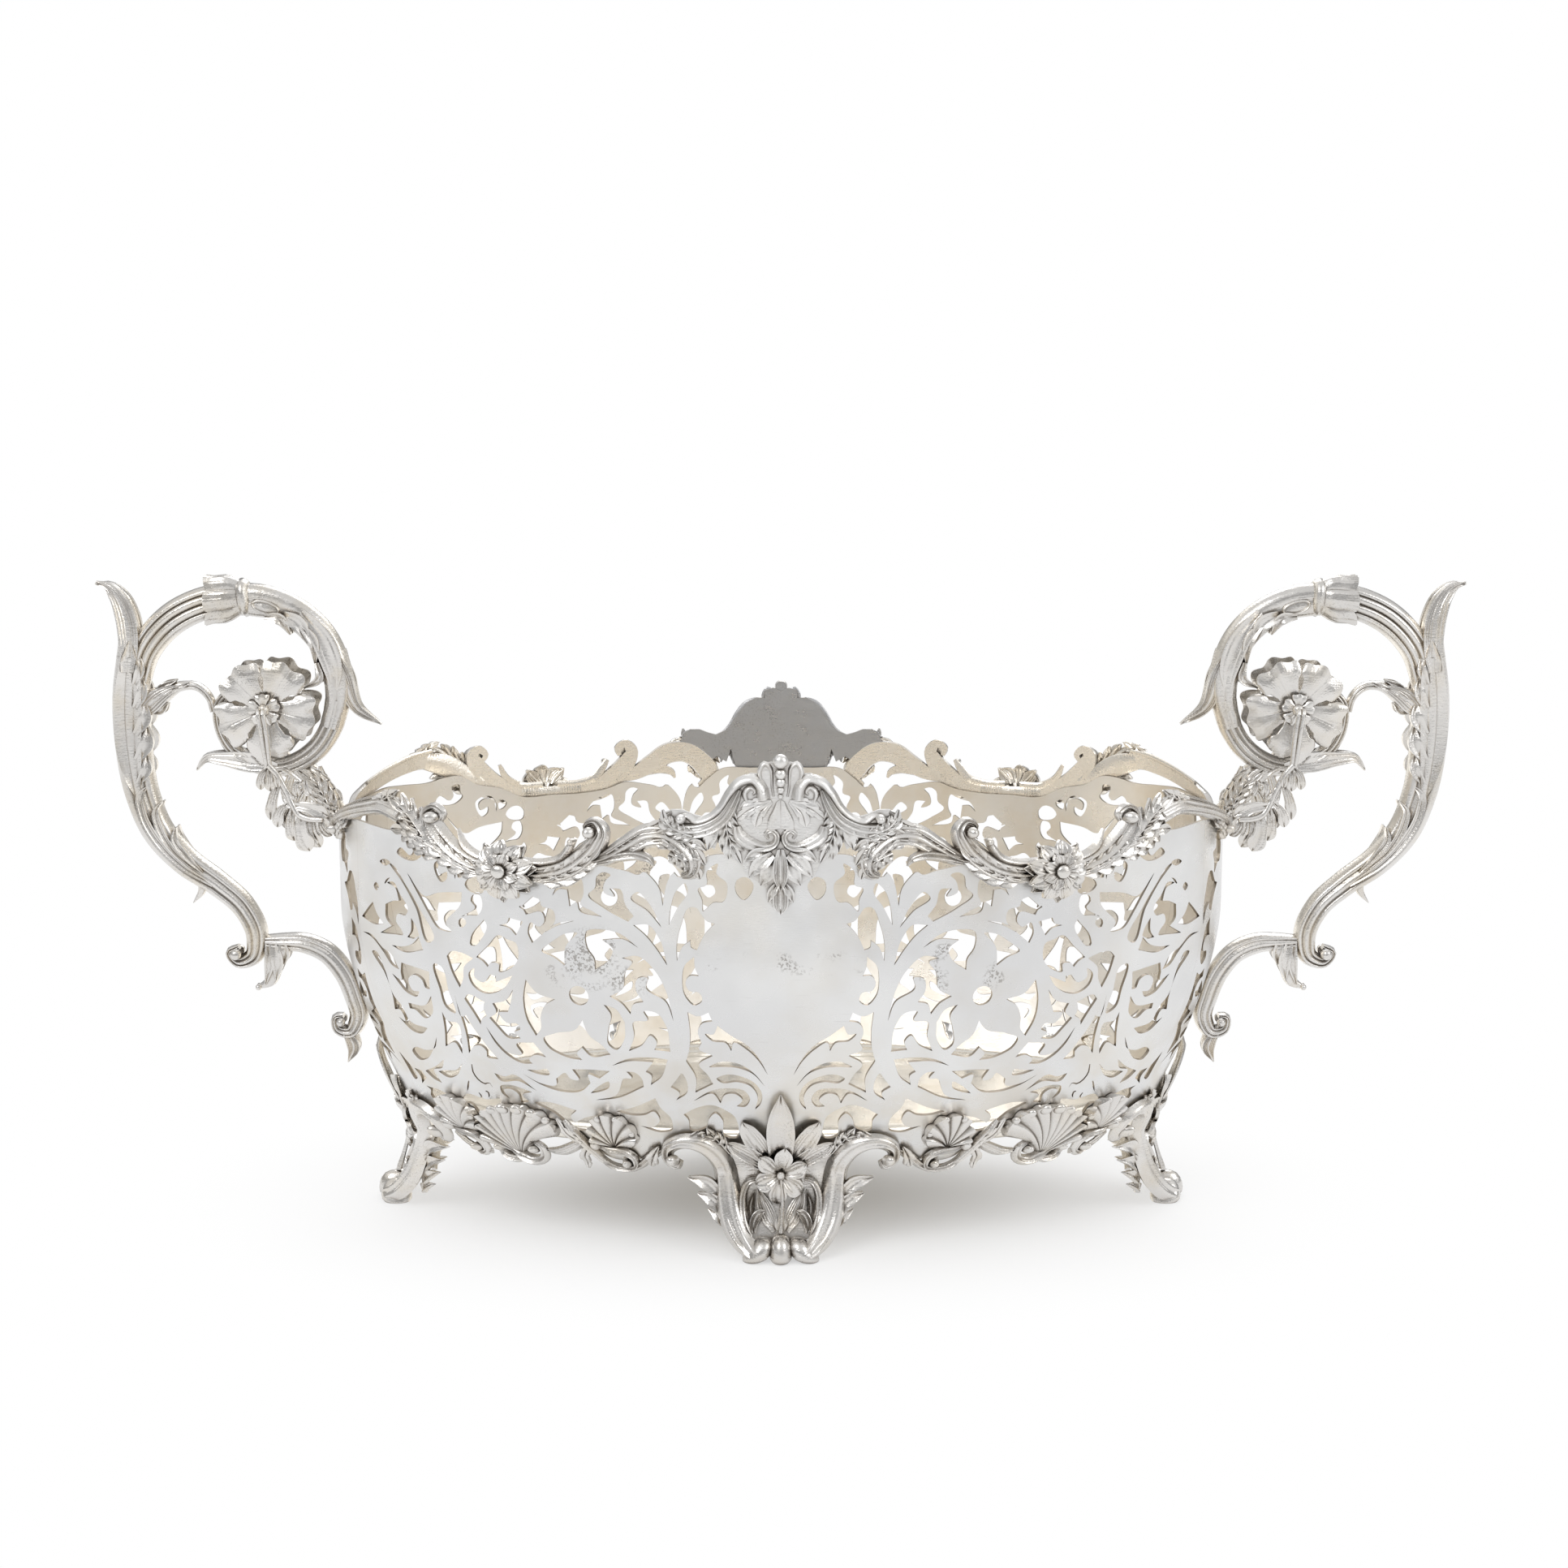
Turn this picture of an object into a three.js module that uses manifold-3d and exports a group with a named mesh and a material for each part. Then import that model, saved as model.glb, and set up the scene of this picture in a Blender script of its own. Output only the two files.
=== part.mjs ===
// A silver centrepiece bowl: an oval pierced basket on four scroll feet, with two tall scroll handles.
// Millimetres, +Z up, X along the handles, origin on the floor under the middle of the bowl.
import * as THREE from "three";
import { mergeVertices } from "three/addons/utils/BufferGeometryUtils.js";
import Module from "manifold-3d";

const wasm = await Module();
wasm.setup();

// Driving dimensions of the basket wall
const halfLength = 186; // plan ellipse at the widest level
const halfDepth = 101;
const footHeight = 34; // floor to the foot of the wall
const wallHeight = 136; // foot of the wall to its highest edge
const bellyHeight = 96; // foot of the wall to its widest level
const draw = 33; // how far the foot of the wall is drawn in
const drawPower = 1.62; // how quickly the wall curves in
const sheet = 1.2; // thickness of the pierced sheet
const seat = 0.3; // clearance between pieces that touch
const bendError = 1.1; // how far a facet may leave the curve of the wall

// Driving dimensions of the applied work
const relief = 5; // how far the cast borders stand out
const leafRelief = 3.4;
const feetSplay = 15; // how far a toe stands out from the foot of the wall
const toeRadius = 7.4;
const toeHeight = 10;
const floorLevel = 45; // top of the floor plate
const floorSheet = 1.4;
const floorRim = 4; // height of the step round the floor plate
const petalRadius = 9.5; // flowers on the rim and the feet
const handleDepth = 5.2; // half thickness of a handle, front to back
const handleLift = 0; // raises a handle against the wall
const ringGirth = 1; // thickness of the ring of a handle, as a share of the drawn one
const bigPetal = 20; // flowers at the middle of the handle scrolls
const bigFlowerDepth = 9;

// The ornament is drawn on a flat sheet: u runs round the wall from the middle of the front, h is the height.
// One quarter of the sheet is 230 long, its foot is at h 34 and its highest edge at h 170.
const drawnQuarter = 230;
const drawnFoot = 34;
const drawnHeight = 136;
const drawnHalfLength = 186;
const panelEnd = 190; // the wall's panels meet at this u
const endShift = 1.2; // the end's shield is this much narrower on each side than the front's

// Materials
const silver = new THREE.MeshStandardMaterial({ color: 0xc9c8c4, roughness: 0.22, metalness: 1 });
const satin = new THREE.MeshStandardMaterial({ color: 0xb9b7b2, roughness: 0.38, metalness: 1 });
const warm = new THREE.MeshStandardMaterial({ color: 0xc9c2b0, roughness: 0.3, metalness: 1 });

// Geometry helpers

// The closed mesh of a BufferGeometry as a solid, turned so that its faces point out.
function solidOf(geometry) {
  const bare = geometry.index ? geometry.toNonIndexed() : geometry.clone();
  const shape = new THREE.BufferGeometry().setAttribute("position", bare.getAttribute("position"));
  const merged = mergeVertices(shape, 1e-4);
  const build = (order) => {
    const triangles = new Uint32Array(merged.index.array);
    if (order < 0) {
      for (let i = 0; i < triangles.length; i += 3) {
        [triangles[i + 1], triangles[i + 2]] = [triangles[i + 2], triangles[i + 1]];
      }
    }
    const vertProperties = new Float32Array(merged.attributes.position.array);
    return new wasm.Manifold(new wasm.Mesh({ numProp: 3, vertProperties, triVerts: triangles }));
  };
  const made = build(1);
  return made.volume() < 0 ? build(-1) : made;
}

function joined(solids) {
  return solids.reduce((all, one) => all.add(one));
}

function geometryOf(solid) {
  const mesh = solid.getMesh();
  const positions = new Float32Array(mesh.numVert * 3);
  for (let i = 0; i < mesh.numVert; i++) {
    positions.set(mesh.vertProperties.subarray(i * mesh.numProp, i * mesh.numProp + 3), i * 3);
  }
  const geometry = new THREE.BufferGeometry();
  geometry.setAttribute("position", new THREE.BufferAttribute(positions, 3));
  geometry.setIndex(new THREE.BufferAttribute(mesh.triVerts, 1));
  return geometry;
}

// A skin over a row of rings of points, closed by a fan at each end.
function loft(rings) {
  const count = rings[0].length;
  const points = rings.flat();
  const faces = [];
  for (let i = 0; i + 1 < rings.length; i++) {
    for (let j = 0; j < count; j++) {
      const next = (j + 1) % count;
      const [a, b] = [i * count + j, i * count + next];
      const [c, d] = [a + count, b + count];
      faces.push(a, b, d, a, d, c);
    }
  }
  const last = (rings.length - 1) * count;
  for (let j = 1; j + 1 < count; j++) {
    faces.push(0, j + 1, j, last, last + j, last + j + 1);
  }
  const geometry = new THREE.BufferGeometry().setFromPoints(points);
  geometry.setIndex(faces);
  return geometry;
}

// The wall's surface

// Arc length round the plan ellipse, from the middle of the front to each of many small steps.
const planSteps = 720;
const planArc = [0];
for (let i = 1; i <= planSteps; i++) {
  const [before, after] = [i - 1, i].map((k) => (Math.PI / 2) * (k / planSteps));
  const dx = halfLength * (Math.sin(after) - Math.sin(before));
  const dy = halfDepth * (Math.cos(after) - Math.cos(before));
  planArc.push(planArc[i - 1] + Math.hypot(dx, dy));
}
const quarterLength = planArc[planSteps];

// The turn round the plan ellipse at a drawn distance u from the middle of the front, up to a quarter.
function planTurn(u) {
  const wanted = (u / drawnQuarter) * quarterLength;
  let i = 1;
  while (i < planSteps && planArc[i] < wanted) i++;
  const part = (wanted - planArc[i - 1]) / (planArc[i] - planArc[i - 1]);
  return (Math.PI / 2) * ((i - 1 + part) / planSteps);
}

// Real height of a drawn height: the feet and the wall stretch each in their own share.
function heightOf(h) {
  if (h < drawnFoot) return (h / drawnFoot) * footHeight;
  return footHeight + ((h - drawnFoot) / drawnHeight) * wallHeight;
}

function insetAt(z) {
  const below = THREE.MathUtils.clamp((bellyHeight + footHeight - z) / bellyHeight, 0, 1);
  return draw * below ** drawPower;
}

// The point at u, h on the drawn sheet and w out from the wall's outer face.
function wallPoint(u, h, w) {
  const side = Math.sign(u) || 1;
  const past = Math.abs(u) > drawnQuarter;
  const turn = planTurn(past ? 2 * drawnQuarter - Math.abs(u) : Math.abs(u));
  const z = heightOf(h);
  const inset = insetAt(z);
  const x = side * Math.sin(turn) * (halfLength - inset + w);
  const y = (past ? 1 : -1) * Math.cos(turn) * (halfDepth - inset + w);
  return new THREE.Vector3(x, y, z);
}

// Sections of the cast strips: across from -1 to 1, out from 0 to 1
const fluted = [[-1, 0], [-0.7, 1], [0, 0.5], [0.7, 1], [1, 0]];
const ridged = [[-1, 0], [0, 1], [1, 0]];
const rounded = [[-1, 0], [-0.6, 0.85], [0.6, 0.85], [1, 0]];

// A cast strip on the wall along a drawn path of [u, h, half width, relief, height of its back off the wall].
function strip(path, section, out = relief, back = seat) {
  const rings = path.map(([u, h, half, rise = 1, lift = back], i) => {
    const before = path[Math.max(i - 1, 0)];
    const after = path[Math.min(i + 1, path.length - 1)];
    const along = new THREE.Vector2(after[0] - before[0], after[1] - before[1]).normalize();
    return section.map(([across, up]) => {
      const [du, dh] = [-along.y * half * across, along.x * half * across];
      return wallPoint(u + du, h + dh, lift + out * rise * up);
    });
  });
  return solidOf(loft(rings));
}

// A rosette on the wall: petals round a raised eye.
function rosette(u, h, radius, petals, out, back) {
  const around = petals * 2;
  const ring = (reach, depth, lift) =>
    Array.from({ length: around }, (_, i) => {
      const angle = (i / around) * 2 * Math.PI;
      const r = reach * radius * (i % 2 ? 1 - depth : 1);
      return wallPoint(u + r * Math.sin(angle), h + r * Math.cos(angle), back + out * lift);
    });
  return solidOf(loft([ring(0.92, 0.2, 0), ring(1, 0.24, 0.5), ring(0.3, 0, 1)]));
}

// Piercing of the wall, drawn for one quarter: closed outlines of [u, h], mirrored to the other three

// Beside the plain shield in the middle of the front
const shieldCuts = [
  [[24, 166], [28.5, 162], [31.8, 156.5], [30, 147.8], [22.7, 151.4], [20.7, 159]],
  [[34.4, 149.4], [38.6, 141.8], [40.2, 127.8], [32.4, 132.6], [25.4, 143]],
  [[33.5, 129.6], [38.2, 122], [37.6, 113.5], [34, 109.5], [31, 112], [36, 117.5]],
  [[37, 106.6], [27.6, 104.6], [33, 99.5], [33.6, 91.5], [28, 87.7], [34.1, 83.4], [28.8, 74.8], [36.8, 70.6],
    [39.3, 85]],
];

// Between the tall stem and the flower
const stemCuts = [
  [[51, 175], [45.6, 149.5], [41, 175]],
  [[57.3, 141.5], [51.5, 141.9], [44.1, 125.9]],
  [[74, 158], [75.2, 153], [69, 147.8], [59.3, 142.8], [61.5, 153.6], [67.4, 157]],
  [[62, 128.2], [55.6, 129.2], [45, 115], [42.9, 102.6], [56.8, 118.6], [54.4, 110.3], [60.2, 104.8], [68, 112]],
  [[59.5, 101.4], [49.5, 105.8], [45.5, 89], [52.1, 89.6], [53.4, 95.5], [62.9, 88.5]],
  [[71.4, 81.4], [65, 85.2], [47, 86], [55.9, 73.4], [53.6, 83.2]],
];

// The big flower with a round hole in its heart
const flowerEye = { u: 80.8, h: 111.5, radius: 4.1, sides: 6 };
const flowerCuts = [
  [[90, 151.6], [78, 158.4], [77.6, 151.8], [69.8, 144.2], [83, 148.6]],
  [[76.2, 138], [63, 138], [55.4, 132.6], [68, 133], [73, 122.8]],
  [[94.8, 129], [80, 137.4], [84.6, 132], [85.5, 123.8]],
  [[70.9, 108.3], [63, 101], [64, 94], [68.8, 88.7], [71, 90.4]],
  [[84.2, 83.1], [71.2, 86.4], [79, 94.5], [80.8, 101], [84, 97], [99.7, 91.2], [95, 85.2]],
  [[98.3, 150.6], [102.6, 146.8], [94, 142.6], [99.6, 140.3], [98.8, 132], [88.9, 142], [89.6, 145.6]],
  [[123.9, 124], [112.8, 134], [106, 131.4], [105.3, 124.6], [114.3, 118.9]],
  [[108.4, 117.8], [112.5, 112.2], [120, 108.6], [127.4, 111.6], [126.6, 118], [122, 113.6]],
  [[109.1, 111.8], [119.8, 104.6], [122.8, 98.2], [116, 90.1], [110.2, 90.5], [117, 100]],
  [[102.8, 116.6], [91.2, 109.2], [97.8, 104.2], [102.7, 92.4], [105.2, 99], [105.2, 108]],
];

// The lower scrolls and the shells' back edge
const lowerCuts = [
  [[43.5, 60], [29.6, 64.8], [20.6, 59.5], [20.6, 49], [26, 50], [27, 60], [33, 55.5], [41, 52.8]],
  [[82.6, 64.7], [59.2, 72.3], [59.3, 75.8], [62.4, 78.6]],
  [[74.2, 60], [55, 67.2], [49.6, 58], [49.8, 52.3], [55, 50.8], [57, 60.4]],
  [[113.9, 73.9], [97, 67.4], [88, 68.6], [73, 78.8], [87, 78.6], [88.4, 73.8]],
  [[125.6, 94], [111.5, 83.8], [104.8, 89.2], [107.8, 79.4], [118.5, 81.7]],
  [[113, 60.8], [107, 61.7], [83.6, 57.3], [89, 50], [97, 49.8]],
  [[156.7, 54.8], [150.5, 60.2], [131, 60.1], [148, 50.8]],
  [[176.4, 59.6], [177.4, 54], [173.4, 51.4], [160.5, 56.4]],
];

// The crossed straps and the scrolls round the ends
const endCuts = [
  [[157.2, 154.6], [147, 146.2], [129.7, 149.8], [137.4, 135.6], [149.4, 143]],
  [[138.1, 122.8], [125.4, 123.3], [134.1, 110]],
  [[137.5, 106.2], [124.3, 79.8], [133, 85], [138.9, 80.5]],
  [[131.2, 107.2], [123.4, 105], [127.9, 94.7]],
  [[167.2, 157.4], [153, 141], [146, 127.4], [150.8, 140.6], [164.6, 156.8]],
  [[169, 149], [157.2, 139.5], [163.4, 136.8], [160.6, 129], [174.4, 127.4], [167, 131.4], [170.4, 139.9]],
  [[187, 132], [179, 139.5], [171.8, 131.5]],
  [[167.8, 123.2], [149.9, 123.8], [151.4, 128]],
  [[163.6, 116.5], [148.6, 114.8], [150.2, 107.1], [157, 112.3], [158.4, 102.8], [171.1, 110.6]],
  [[182, 118.5], [173.7, 100], [168.8, 91], [158.2, 88.8], [167, 85.4], [175.4, 90.9], [175, 100]],
  [[150.4, 104.2], [165.4, 98.4], [152.2, 96]],
  [[144.7, 118.9], [142.2, 118.4], [139.9, 98], [143.4, 99.8]],
  [[146.6, 97.8], [139.9, 93.8], [142.8, 79.8], [151, 81.9]],
  [[175.4, 75.4], [167, 73.6], [154.5, 85.5], [165, 78.4]],
  [[171.9, 67.4], [155.4, 75.3], [163.7, 63.2]],
];

// Slits that fan out over a foot, on the front and back as well as on the ends
const footCuts = [
  [[25.3, 101], [13.5, 92.5], [5.4, 79.4], [14, 90.4], [29.6, 95]],
  [[27.2, 77.4], [15, 78.3], [8, 69.8], [11.2, 63.2], [12.8, 73.6]],
  [[38, 66.7], [30, 71.6], [21, 73], [13.3, 68], [26.3, 66]],
];

const quarterCuts = [
  ...[shieldCuts, stemCuts, flowerCuts, lowerCuts, endCuts, footCuts].flat(),
  ...footCuts.map((outline) => outline.map(([u, h]) => [drawnQuarter - u, h])),
  ...shieldCuts.map((outline) => outline.map(([u, h]) => [drawnQuarter + endShift - u, h])),
  Array.from({ length: flowerEye.sides }, (_, i) => {
    const angle = (i / flowerEye.sides) * 2 * Math.PI;
    return [flowerEye.u + flowerEye.radius * Math.cos(angle), flowerEye.h + flowerEye.radius * Math.sin(angle)];
  }),
];

// The edges of the wall: [u, height of the foot, height of the top], straight between these
const wallEdges = [
  [0, 40, 169.5], [22, 41, 169], [41, 48, 161], [56, 43, 162], [70, 37, 161], [88, 39, 158.5], [106, 45, 160],
  [124, 40, 158.5], [140, 36.5, 164], [153, 38, 168.5], [166, 38.5, 168], [178, 46, 170.5], [190, 48, 171],
  [204, 42, 168.8], [217, 40, 166.6], [230, 40, 166],
];

// A flat shape of [u, h] as a solid between two w, still flat.
function flat(outline, from, to, side = 1) {
  const shape = new THREE.Shape(outline.map(([u, h]) => new THREE.Vector2(side * u, h)));
  const geometry = new THREE.ExtrudeGeometry(shape, { depth: to - from, bevelEnabled: false });
  geometry.translate(0, 0, from);
  return solidOf(geometry);
}

// A flat solid bent onto the wall. An edge that would cut across the curve is halved.
function bent(solid) {
  const mesh = solid.getMesh();
  const places = [];
  for (let i = 0; i < mesh.numVert; i++) {
    places.push(Array.from(mesh.vertProperties.subarray(i * mesh.numProp, i * mesh.numProp + 3)));
  }
  const points = places.map((place) => wallPoint(...place));
  let faces = [];
  for (let i = 0; i < mesh.numTri; i++) faces.push(Array.from(mesh.triVerts.subarray(i * 3, i * 3 + 3)));
  let halved = true;
  while (halved) {
    halved = false;
    const middles = new Map();
    const middle = (a, b) => {
      const key = a < b ? `${a} ${b}` : `${b} ${a}`;
      if (middles.has(key)) return middles.get(key);
      const place = places[a].map((value, k) => (value + places[b][k]) / 2);
      const point = wallPoint(...place);
      const off = point.distanceTo(points[a].clone().lerp(points[b], 0.5));
      middles.set(key, off > bendError ? points.push(point) - 1 : -1);
      if (off > bendError) places.push(place);
      return middles.get(key);
    };
    faces = faces.flatMap(([a, b, c]) => {
      const round = [a, middle(a, b), b, middle(b, c), c, middle(c, a)];
      const first = [1, 3, 5].find((i) => round[i] >= 0);
      if (first === undefined) return [[a, b, c]];
      halved = true;
      const ring = [...round.slice(first), ...round.slice(0, first)].filter((i) => i >= 0);
      return ring.slice(2).map((corner, i) => [ring[0], ring[i + 1], corner]);
    });
  }
  const geometry = new THREE.BufferGeometry().setFromPoints(points);
  geometry.setIndex(faces.flat());
  return solidOf(geometry);
}

// A pierced sheet between two u.
function piercedPanel(from, to) {
  const far = (edges) => edges.map(([u, ...heights]) => [2 * drawnQuarter - u, ...heights]);
  const near = wallEdges.map(([u, ...heights]) => [-u, ...heights]);
  const along = [...near.reverse(), ...wallEdges.slice(1), ...far(wallEdges).reverse().slice(1)];
  const foot = along.map(([u, low]) => [u, low]);
  const top = along.map(([u, , high]) => [u, high]).reverse();
  const frame = [[from, 0], [to, 0], [to, drawnFoot + drawnHeight + 20], [from, drawnFoot + drawnHeight + 20]];
  const blank = flat([...foot, ...top], -sheet, 0).intersect(flat(frame, -sheet - 1, 1));
  const around = quarterCuts.flatMap((outline) => {
    const farther = outline.map(([u, h]) => [2 * drawnQuarter - u, h]);
    return [[outline, 1], [outline, -1], [farther, 1]];
  });
  const met = around.filter(([outline, side]) => outline.some(([u]) => side * u > from && side * u < to));
  const cuts = met.map(([outline, side]) => flat(outline, -sheet - 1, 1, side));
  return bent(cuts.reduce((wall, cut) => wall.subtract(cut), blank));
}

// Applied work in one quarter, on the right of the front; the other quarters mirror it

// The rim: scrolls that run from the cartouche past a flower to the end of the bowl
function rimQuarter() {
  return joined([
    strip([[76, 166, 2], [65, 169.6, 4.6], [53, 175.6, 6], [42, 176.4, 4.8], [35, 169, 4.6], [38.6, 162, 1.2]],
      rounded),
    strip([[68, 167.4, 2.4], [57, 169.4, 2.6], [48.8, 166, 0.4]], ridged, leafRelief),
    strip([[138.4, 179.2, 0.8], [142.4, 179.4, 2.4], [139.6, 172.4, 4], [131, 164.6, 4.6], [119, 160.8, 4.2],
      [93, 160.8, 4.2], [80, 165.4, 4.6], [72, 172.6, 3.8], [70, 179.4, 2.4], [74, 179.2, 0.8]], rounded),
    strip([[79.8, 174, 0.5], [84.6, 167.6, 1.8], [94, 165.6, 1.9], [120, 165.4, 1.8], [129.8, 175.4, 0.5]], ridged),
    strip([[137, 166, 3.6], [147, 172, 5.6], [157, 179, 5.6], [168, 180, 3.6], [184, 177.4, 2.9], [198, 173.4, 2.6],
      [209, 168.6, 2.4], [209.4, 163.4, 1]], rounded),
    strip([[148, 176, 2.8], [156, 182, 2.4], [164, 185.4, 0.4]], ridged, leafRelief),
  ]).subtract(wing(1, seat));
}

// The base: a moulding that links the feet and runs under the shells
function baseQuarter() {
  return joined([
    strip([[58.6, 41.6, 1.7], [66, 36.4, 1.7], [76, 32.2, 1.7], [84, 33.6, 1.9], [90.6, 40, 2.2], [96, 47.2, 2.4],
      [100, 54, 0.9]], ridged, leafRelief),
    strip([[92, 42, 2], [95.8, 36.6, 2.2], [95.2, 31.6, 0.4]], ridged, leafRelief),
    strip([[94, 45, 2], [102, 40.4, 2.2], [113, 37.4, 0.9]], ridged, leafRelief),
  ]);
}

function baseQuarterEnd() {
  return strip([[170.4, 39.4, 1.3], [165, 35.6, 1.4], [158, 33, 1.4], [151, 33.4, 1.3]], ridged, leafRelief);
}

// A scallop shell: a fan of ridges that spreads from the middle of its foot to the given tips.
function shell(apex, tips, out = relief) {
  const edge = tips.flatMap((tip, i) => {
    if (i === 0) return [[...tip, 0.75]];
    const valley = [0, 1].map((k) => (tips[i - 1][k] + tip[k]) / 2);
    return [[...valley, 0.4], [...tip, 0.75]];
  });
  const spoke = ([u, h, rise]) => {
    const at = (reach) => [apex[0] + (u - apex[0]) * reach, apex[1] + (h - apex[1]) * reach];
    const ends = [[0.12, 0, 0], [1, 0, 0], [1, 0.5, rise * 0.5], [0.6, 1, rise * 1.25], [0.12, 1, 0.6]];
    return ends.map(([reach, , lift]) => wallPoint(...at(reach), seat + out * lift));
  };
  return solidOf(loft(edge.map(spoke)));
}

function fanShell() {
  const tips = [[148, 43.6], [144.4, 51.6], [136.4, 56.4], [126, 59], [115.4, 58.6], [106.6, 55]];
  const curl = strip([[134.6, 37, 2.4], [128.6, 33.4, 2.6], [121.4, 33.4, 1.9], [120, 38, 0.8]], ridged);
  return shell([131.6, 34], [...tips, [103.6, 50]]).add(curl);
}

function smallShell(u) {
  const tips = [[10.6, 46.6], [8.4, 54], [2, 58.6], [-6, 57.6], [-12, 48.6]];
  const curl = strip([[u + 3.4, 44, 1.5], [u - 0.4, 40.6, 1.6], [u + 0.8, 37.2, 0.6]], ridged, leafRelief);
  return shell([u + 1, 42.4], tips.map(([du, h]) => [u + du, h])).add(curl);
}

// A wing of the cartouche, grown all round by room. It lies before the end of the rim's scroll.
function wing(s, room = 0) {
  const path = [[4, 177, 5], [14, 179, 6.4], [24, 180.4, 6.4], [33, 179, 6], [40, 181.4, 4.4], [43.6, 185.4, 2.4],
    [38, 187.4, 0.8]];
  return strip(path.map(([u, h, half]) => [s * u, h, half + room]), rounded, relief + 3 * room, seat - 2 * room);
}

// The cartouche over the middle of a side: a palmette drop, two wings and a crown with a pearl
function cartouche() {
  const halves = [-1, 1].flatMap((s) => [
    wing(s),
    strip([[s * 24.6, 184, 2.8], [s * 20, 189, 3.8], [s * 15.6, 195.6, 3.8], [s * 9.4, 200, 3], [s * 2.4, 203.6, 2.4]],
      ridged),
    strip([[s * 21, 181, 4.4], [s * 19, 174, 4], [s * 15, 167.4, 0.5]], ridged, leafRelief),
  ]);
  const field = strip([[0, 176, 13, 0.8], [0, 188, 16, 0.7], [0, 201, 8, 0.8]], ridged);
  const drop = strip([[0, 177, 13, 1.2], [0, 166, 9.4, 1], [0, 156, 4.6, 0.8], [0, 147.2, 0.4, 0.4]], ridged);
  const pearl = strip([[0, 202.4, 1.8, 1.1], [0, 206, 3.2, 1.3], [0, 209.6, 1.8, 1.1]], rounded);
  return joined([...halves, field, drop, pearl]);
}

// Feet

const toeOut = feetSplay;
// A foot about the drawn place u: two scroll arms that meet in a toe of three lobes.
function foot(u0) {
  const arm = (s) =>
    strip([[u0 + s * 10, 4.4, 3.4, 1.5, toeOut - 5], [u0 + s * 17, 6.6, 4.8, 1.6, toeOut - 6],
      [u0 + s * 22, 12.6, 5.4, 1.5, toeOut - 8.6], [u0 + s * 24.8, 22, 5.8, 1.4, 2.6], [u0 + s * 26.8, 33, 5.8, 1.2, 0.6],
      [u0 + s * 32, 43.2, 5.2, 1.1], [u0 + s * 42, 47.2, 4], [u0 + s * 52.4, 44, 3], [u0 + s * 53.8, 38, 2],
      [u0 + s * 49.6, 37, 1]], rounded);
  const profile = [[0, 0], [toeRadius * 0.94, 0], [toeRadius * 0.9, toeHeight * 0.6], [toeRadius * 0.4, toeHeight],
    [0, toeHeight]];
  const lobes = [[-8.6, toeOut - 2], [0, toeOut], [8.6, toeOut - 2]].map(([du, w]) => {
    const lobe = new THREE.LatheGeometry(profile.map(([r, z]) => new THREE.Vector2(r, z)), 7);
    lobe.rotateX(Math.PI / 2);
    const place = wallPoint(u0 + du, 0, w);
    lobe.translate(place.x, place.y, 0);
    return solidOf(latheClosed(lobe));
  });
  return joined([arm(-1), arm(1), ...lobes]);
}

// A lathe whose profile starts and ends on the axis: its seam and poles are closed by merging.
function latheClosed(geometry) {
  const bare = new THREE.BufferGeometry().setAttribute("position", geometry.getAttribute("position"));
  bare.setIndex(geometry.index);
  const merged = mergeVertices(bare, 1e-4);
  const index = merged.index.array;
  const kept = [];
  for (let i = 0; i < index.length; i += 3) {
    const [a, b, c] = [index[i], index[i + 1], index[i + 2]];
    if (a !== b && b !== c && a !== c) kept.push(a, b, c);
  }
  merged.setIndex(kept);
  return merged;
}

// The spray on a foot: five leaves and a flower, and the web of leaves between the arms
function footSpray(u0) {
  const off = seat * 3;
  const upper = strip([[u0 - 15.8, 57.6, 0.4], [u0 - 10, 47.6, 4.8], [u0, 39, 2.6], [u0 + 10, 47.6, 4.8],
    [u0 + 15.8, 57.6, 0.4]], ridged, leafRelief, off);
  const lower = strip([[u0 - 20, 45.4, 0.4], [u0 - 12, 38.4, 4], [u0, 35, 2.6], [u0 + 12, 38.4, 4],
    [u0 + 20, 45.4, 0.4]], ridged, leafRelief * 0.8, off);
  const tall = strip([[u0, 70.5, 0.4], [u0, 54, 6.8], [u0, 36, 3.4], [u0, 18, 2.4, 1.6, 4]], ridged, leafRelief, off);
  const web = strip([[u0, 38.8, 15.4, 0.5], [u0, 33, 16.8, 0.5], [u0, 25, 16.4, 0.5, 2.2], [u0, 17, 13.6, 0.5, 4.6],
    [u0, 12, 9.4, 0.4, 6.4]], rounded, leafRelief, off);
  return joined([upper, lower, tall, web, rosette(u0, 36, petalRadius, 6, leafRelief * 1.4, off + 1.2)]);
}

// The floor plate: an oval sheet with a stepped edge inside the foot of the wall
function floorPlate() {
  const sides = 36;
  const fit = floorLevel - floorSheet;
  const ring = (inward, z) =>
    Array.from({ length: sides }, (_, i) => {
      const turn = (i / sides) * 2 * Math.PI;
      const inset = insetAt(fit) + sheet + seat + inward;
      return new THREE.Vector3(
        Math.sin(turn) * (halfLength - inset),
        -Math.cos(turn) * (halfDepth - inset),
        z,
      );
    });
  const low = floorLevel - floorSheet;
  return solidOf(loft([
    ring(0.6, low), ring(0, low + floorRim), ring(1.8, low + floorRim), ring(3.6, floorLevel + 1.2),
    ring(8, floorLevel),
  ]));
}

// Handles, drawn in the plane of the bowl's length: x from the middle of the bowl, z from the floor

const handleShift = halfLength - drawnHalfLength;

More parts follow.
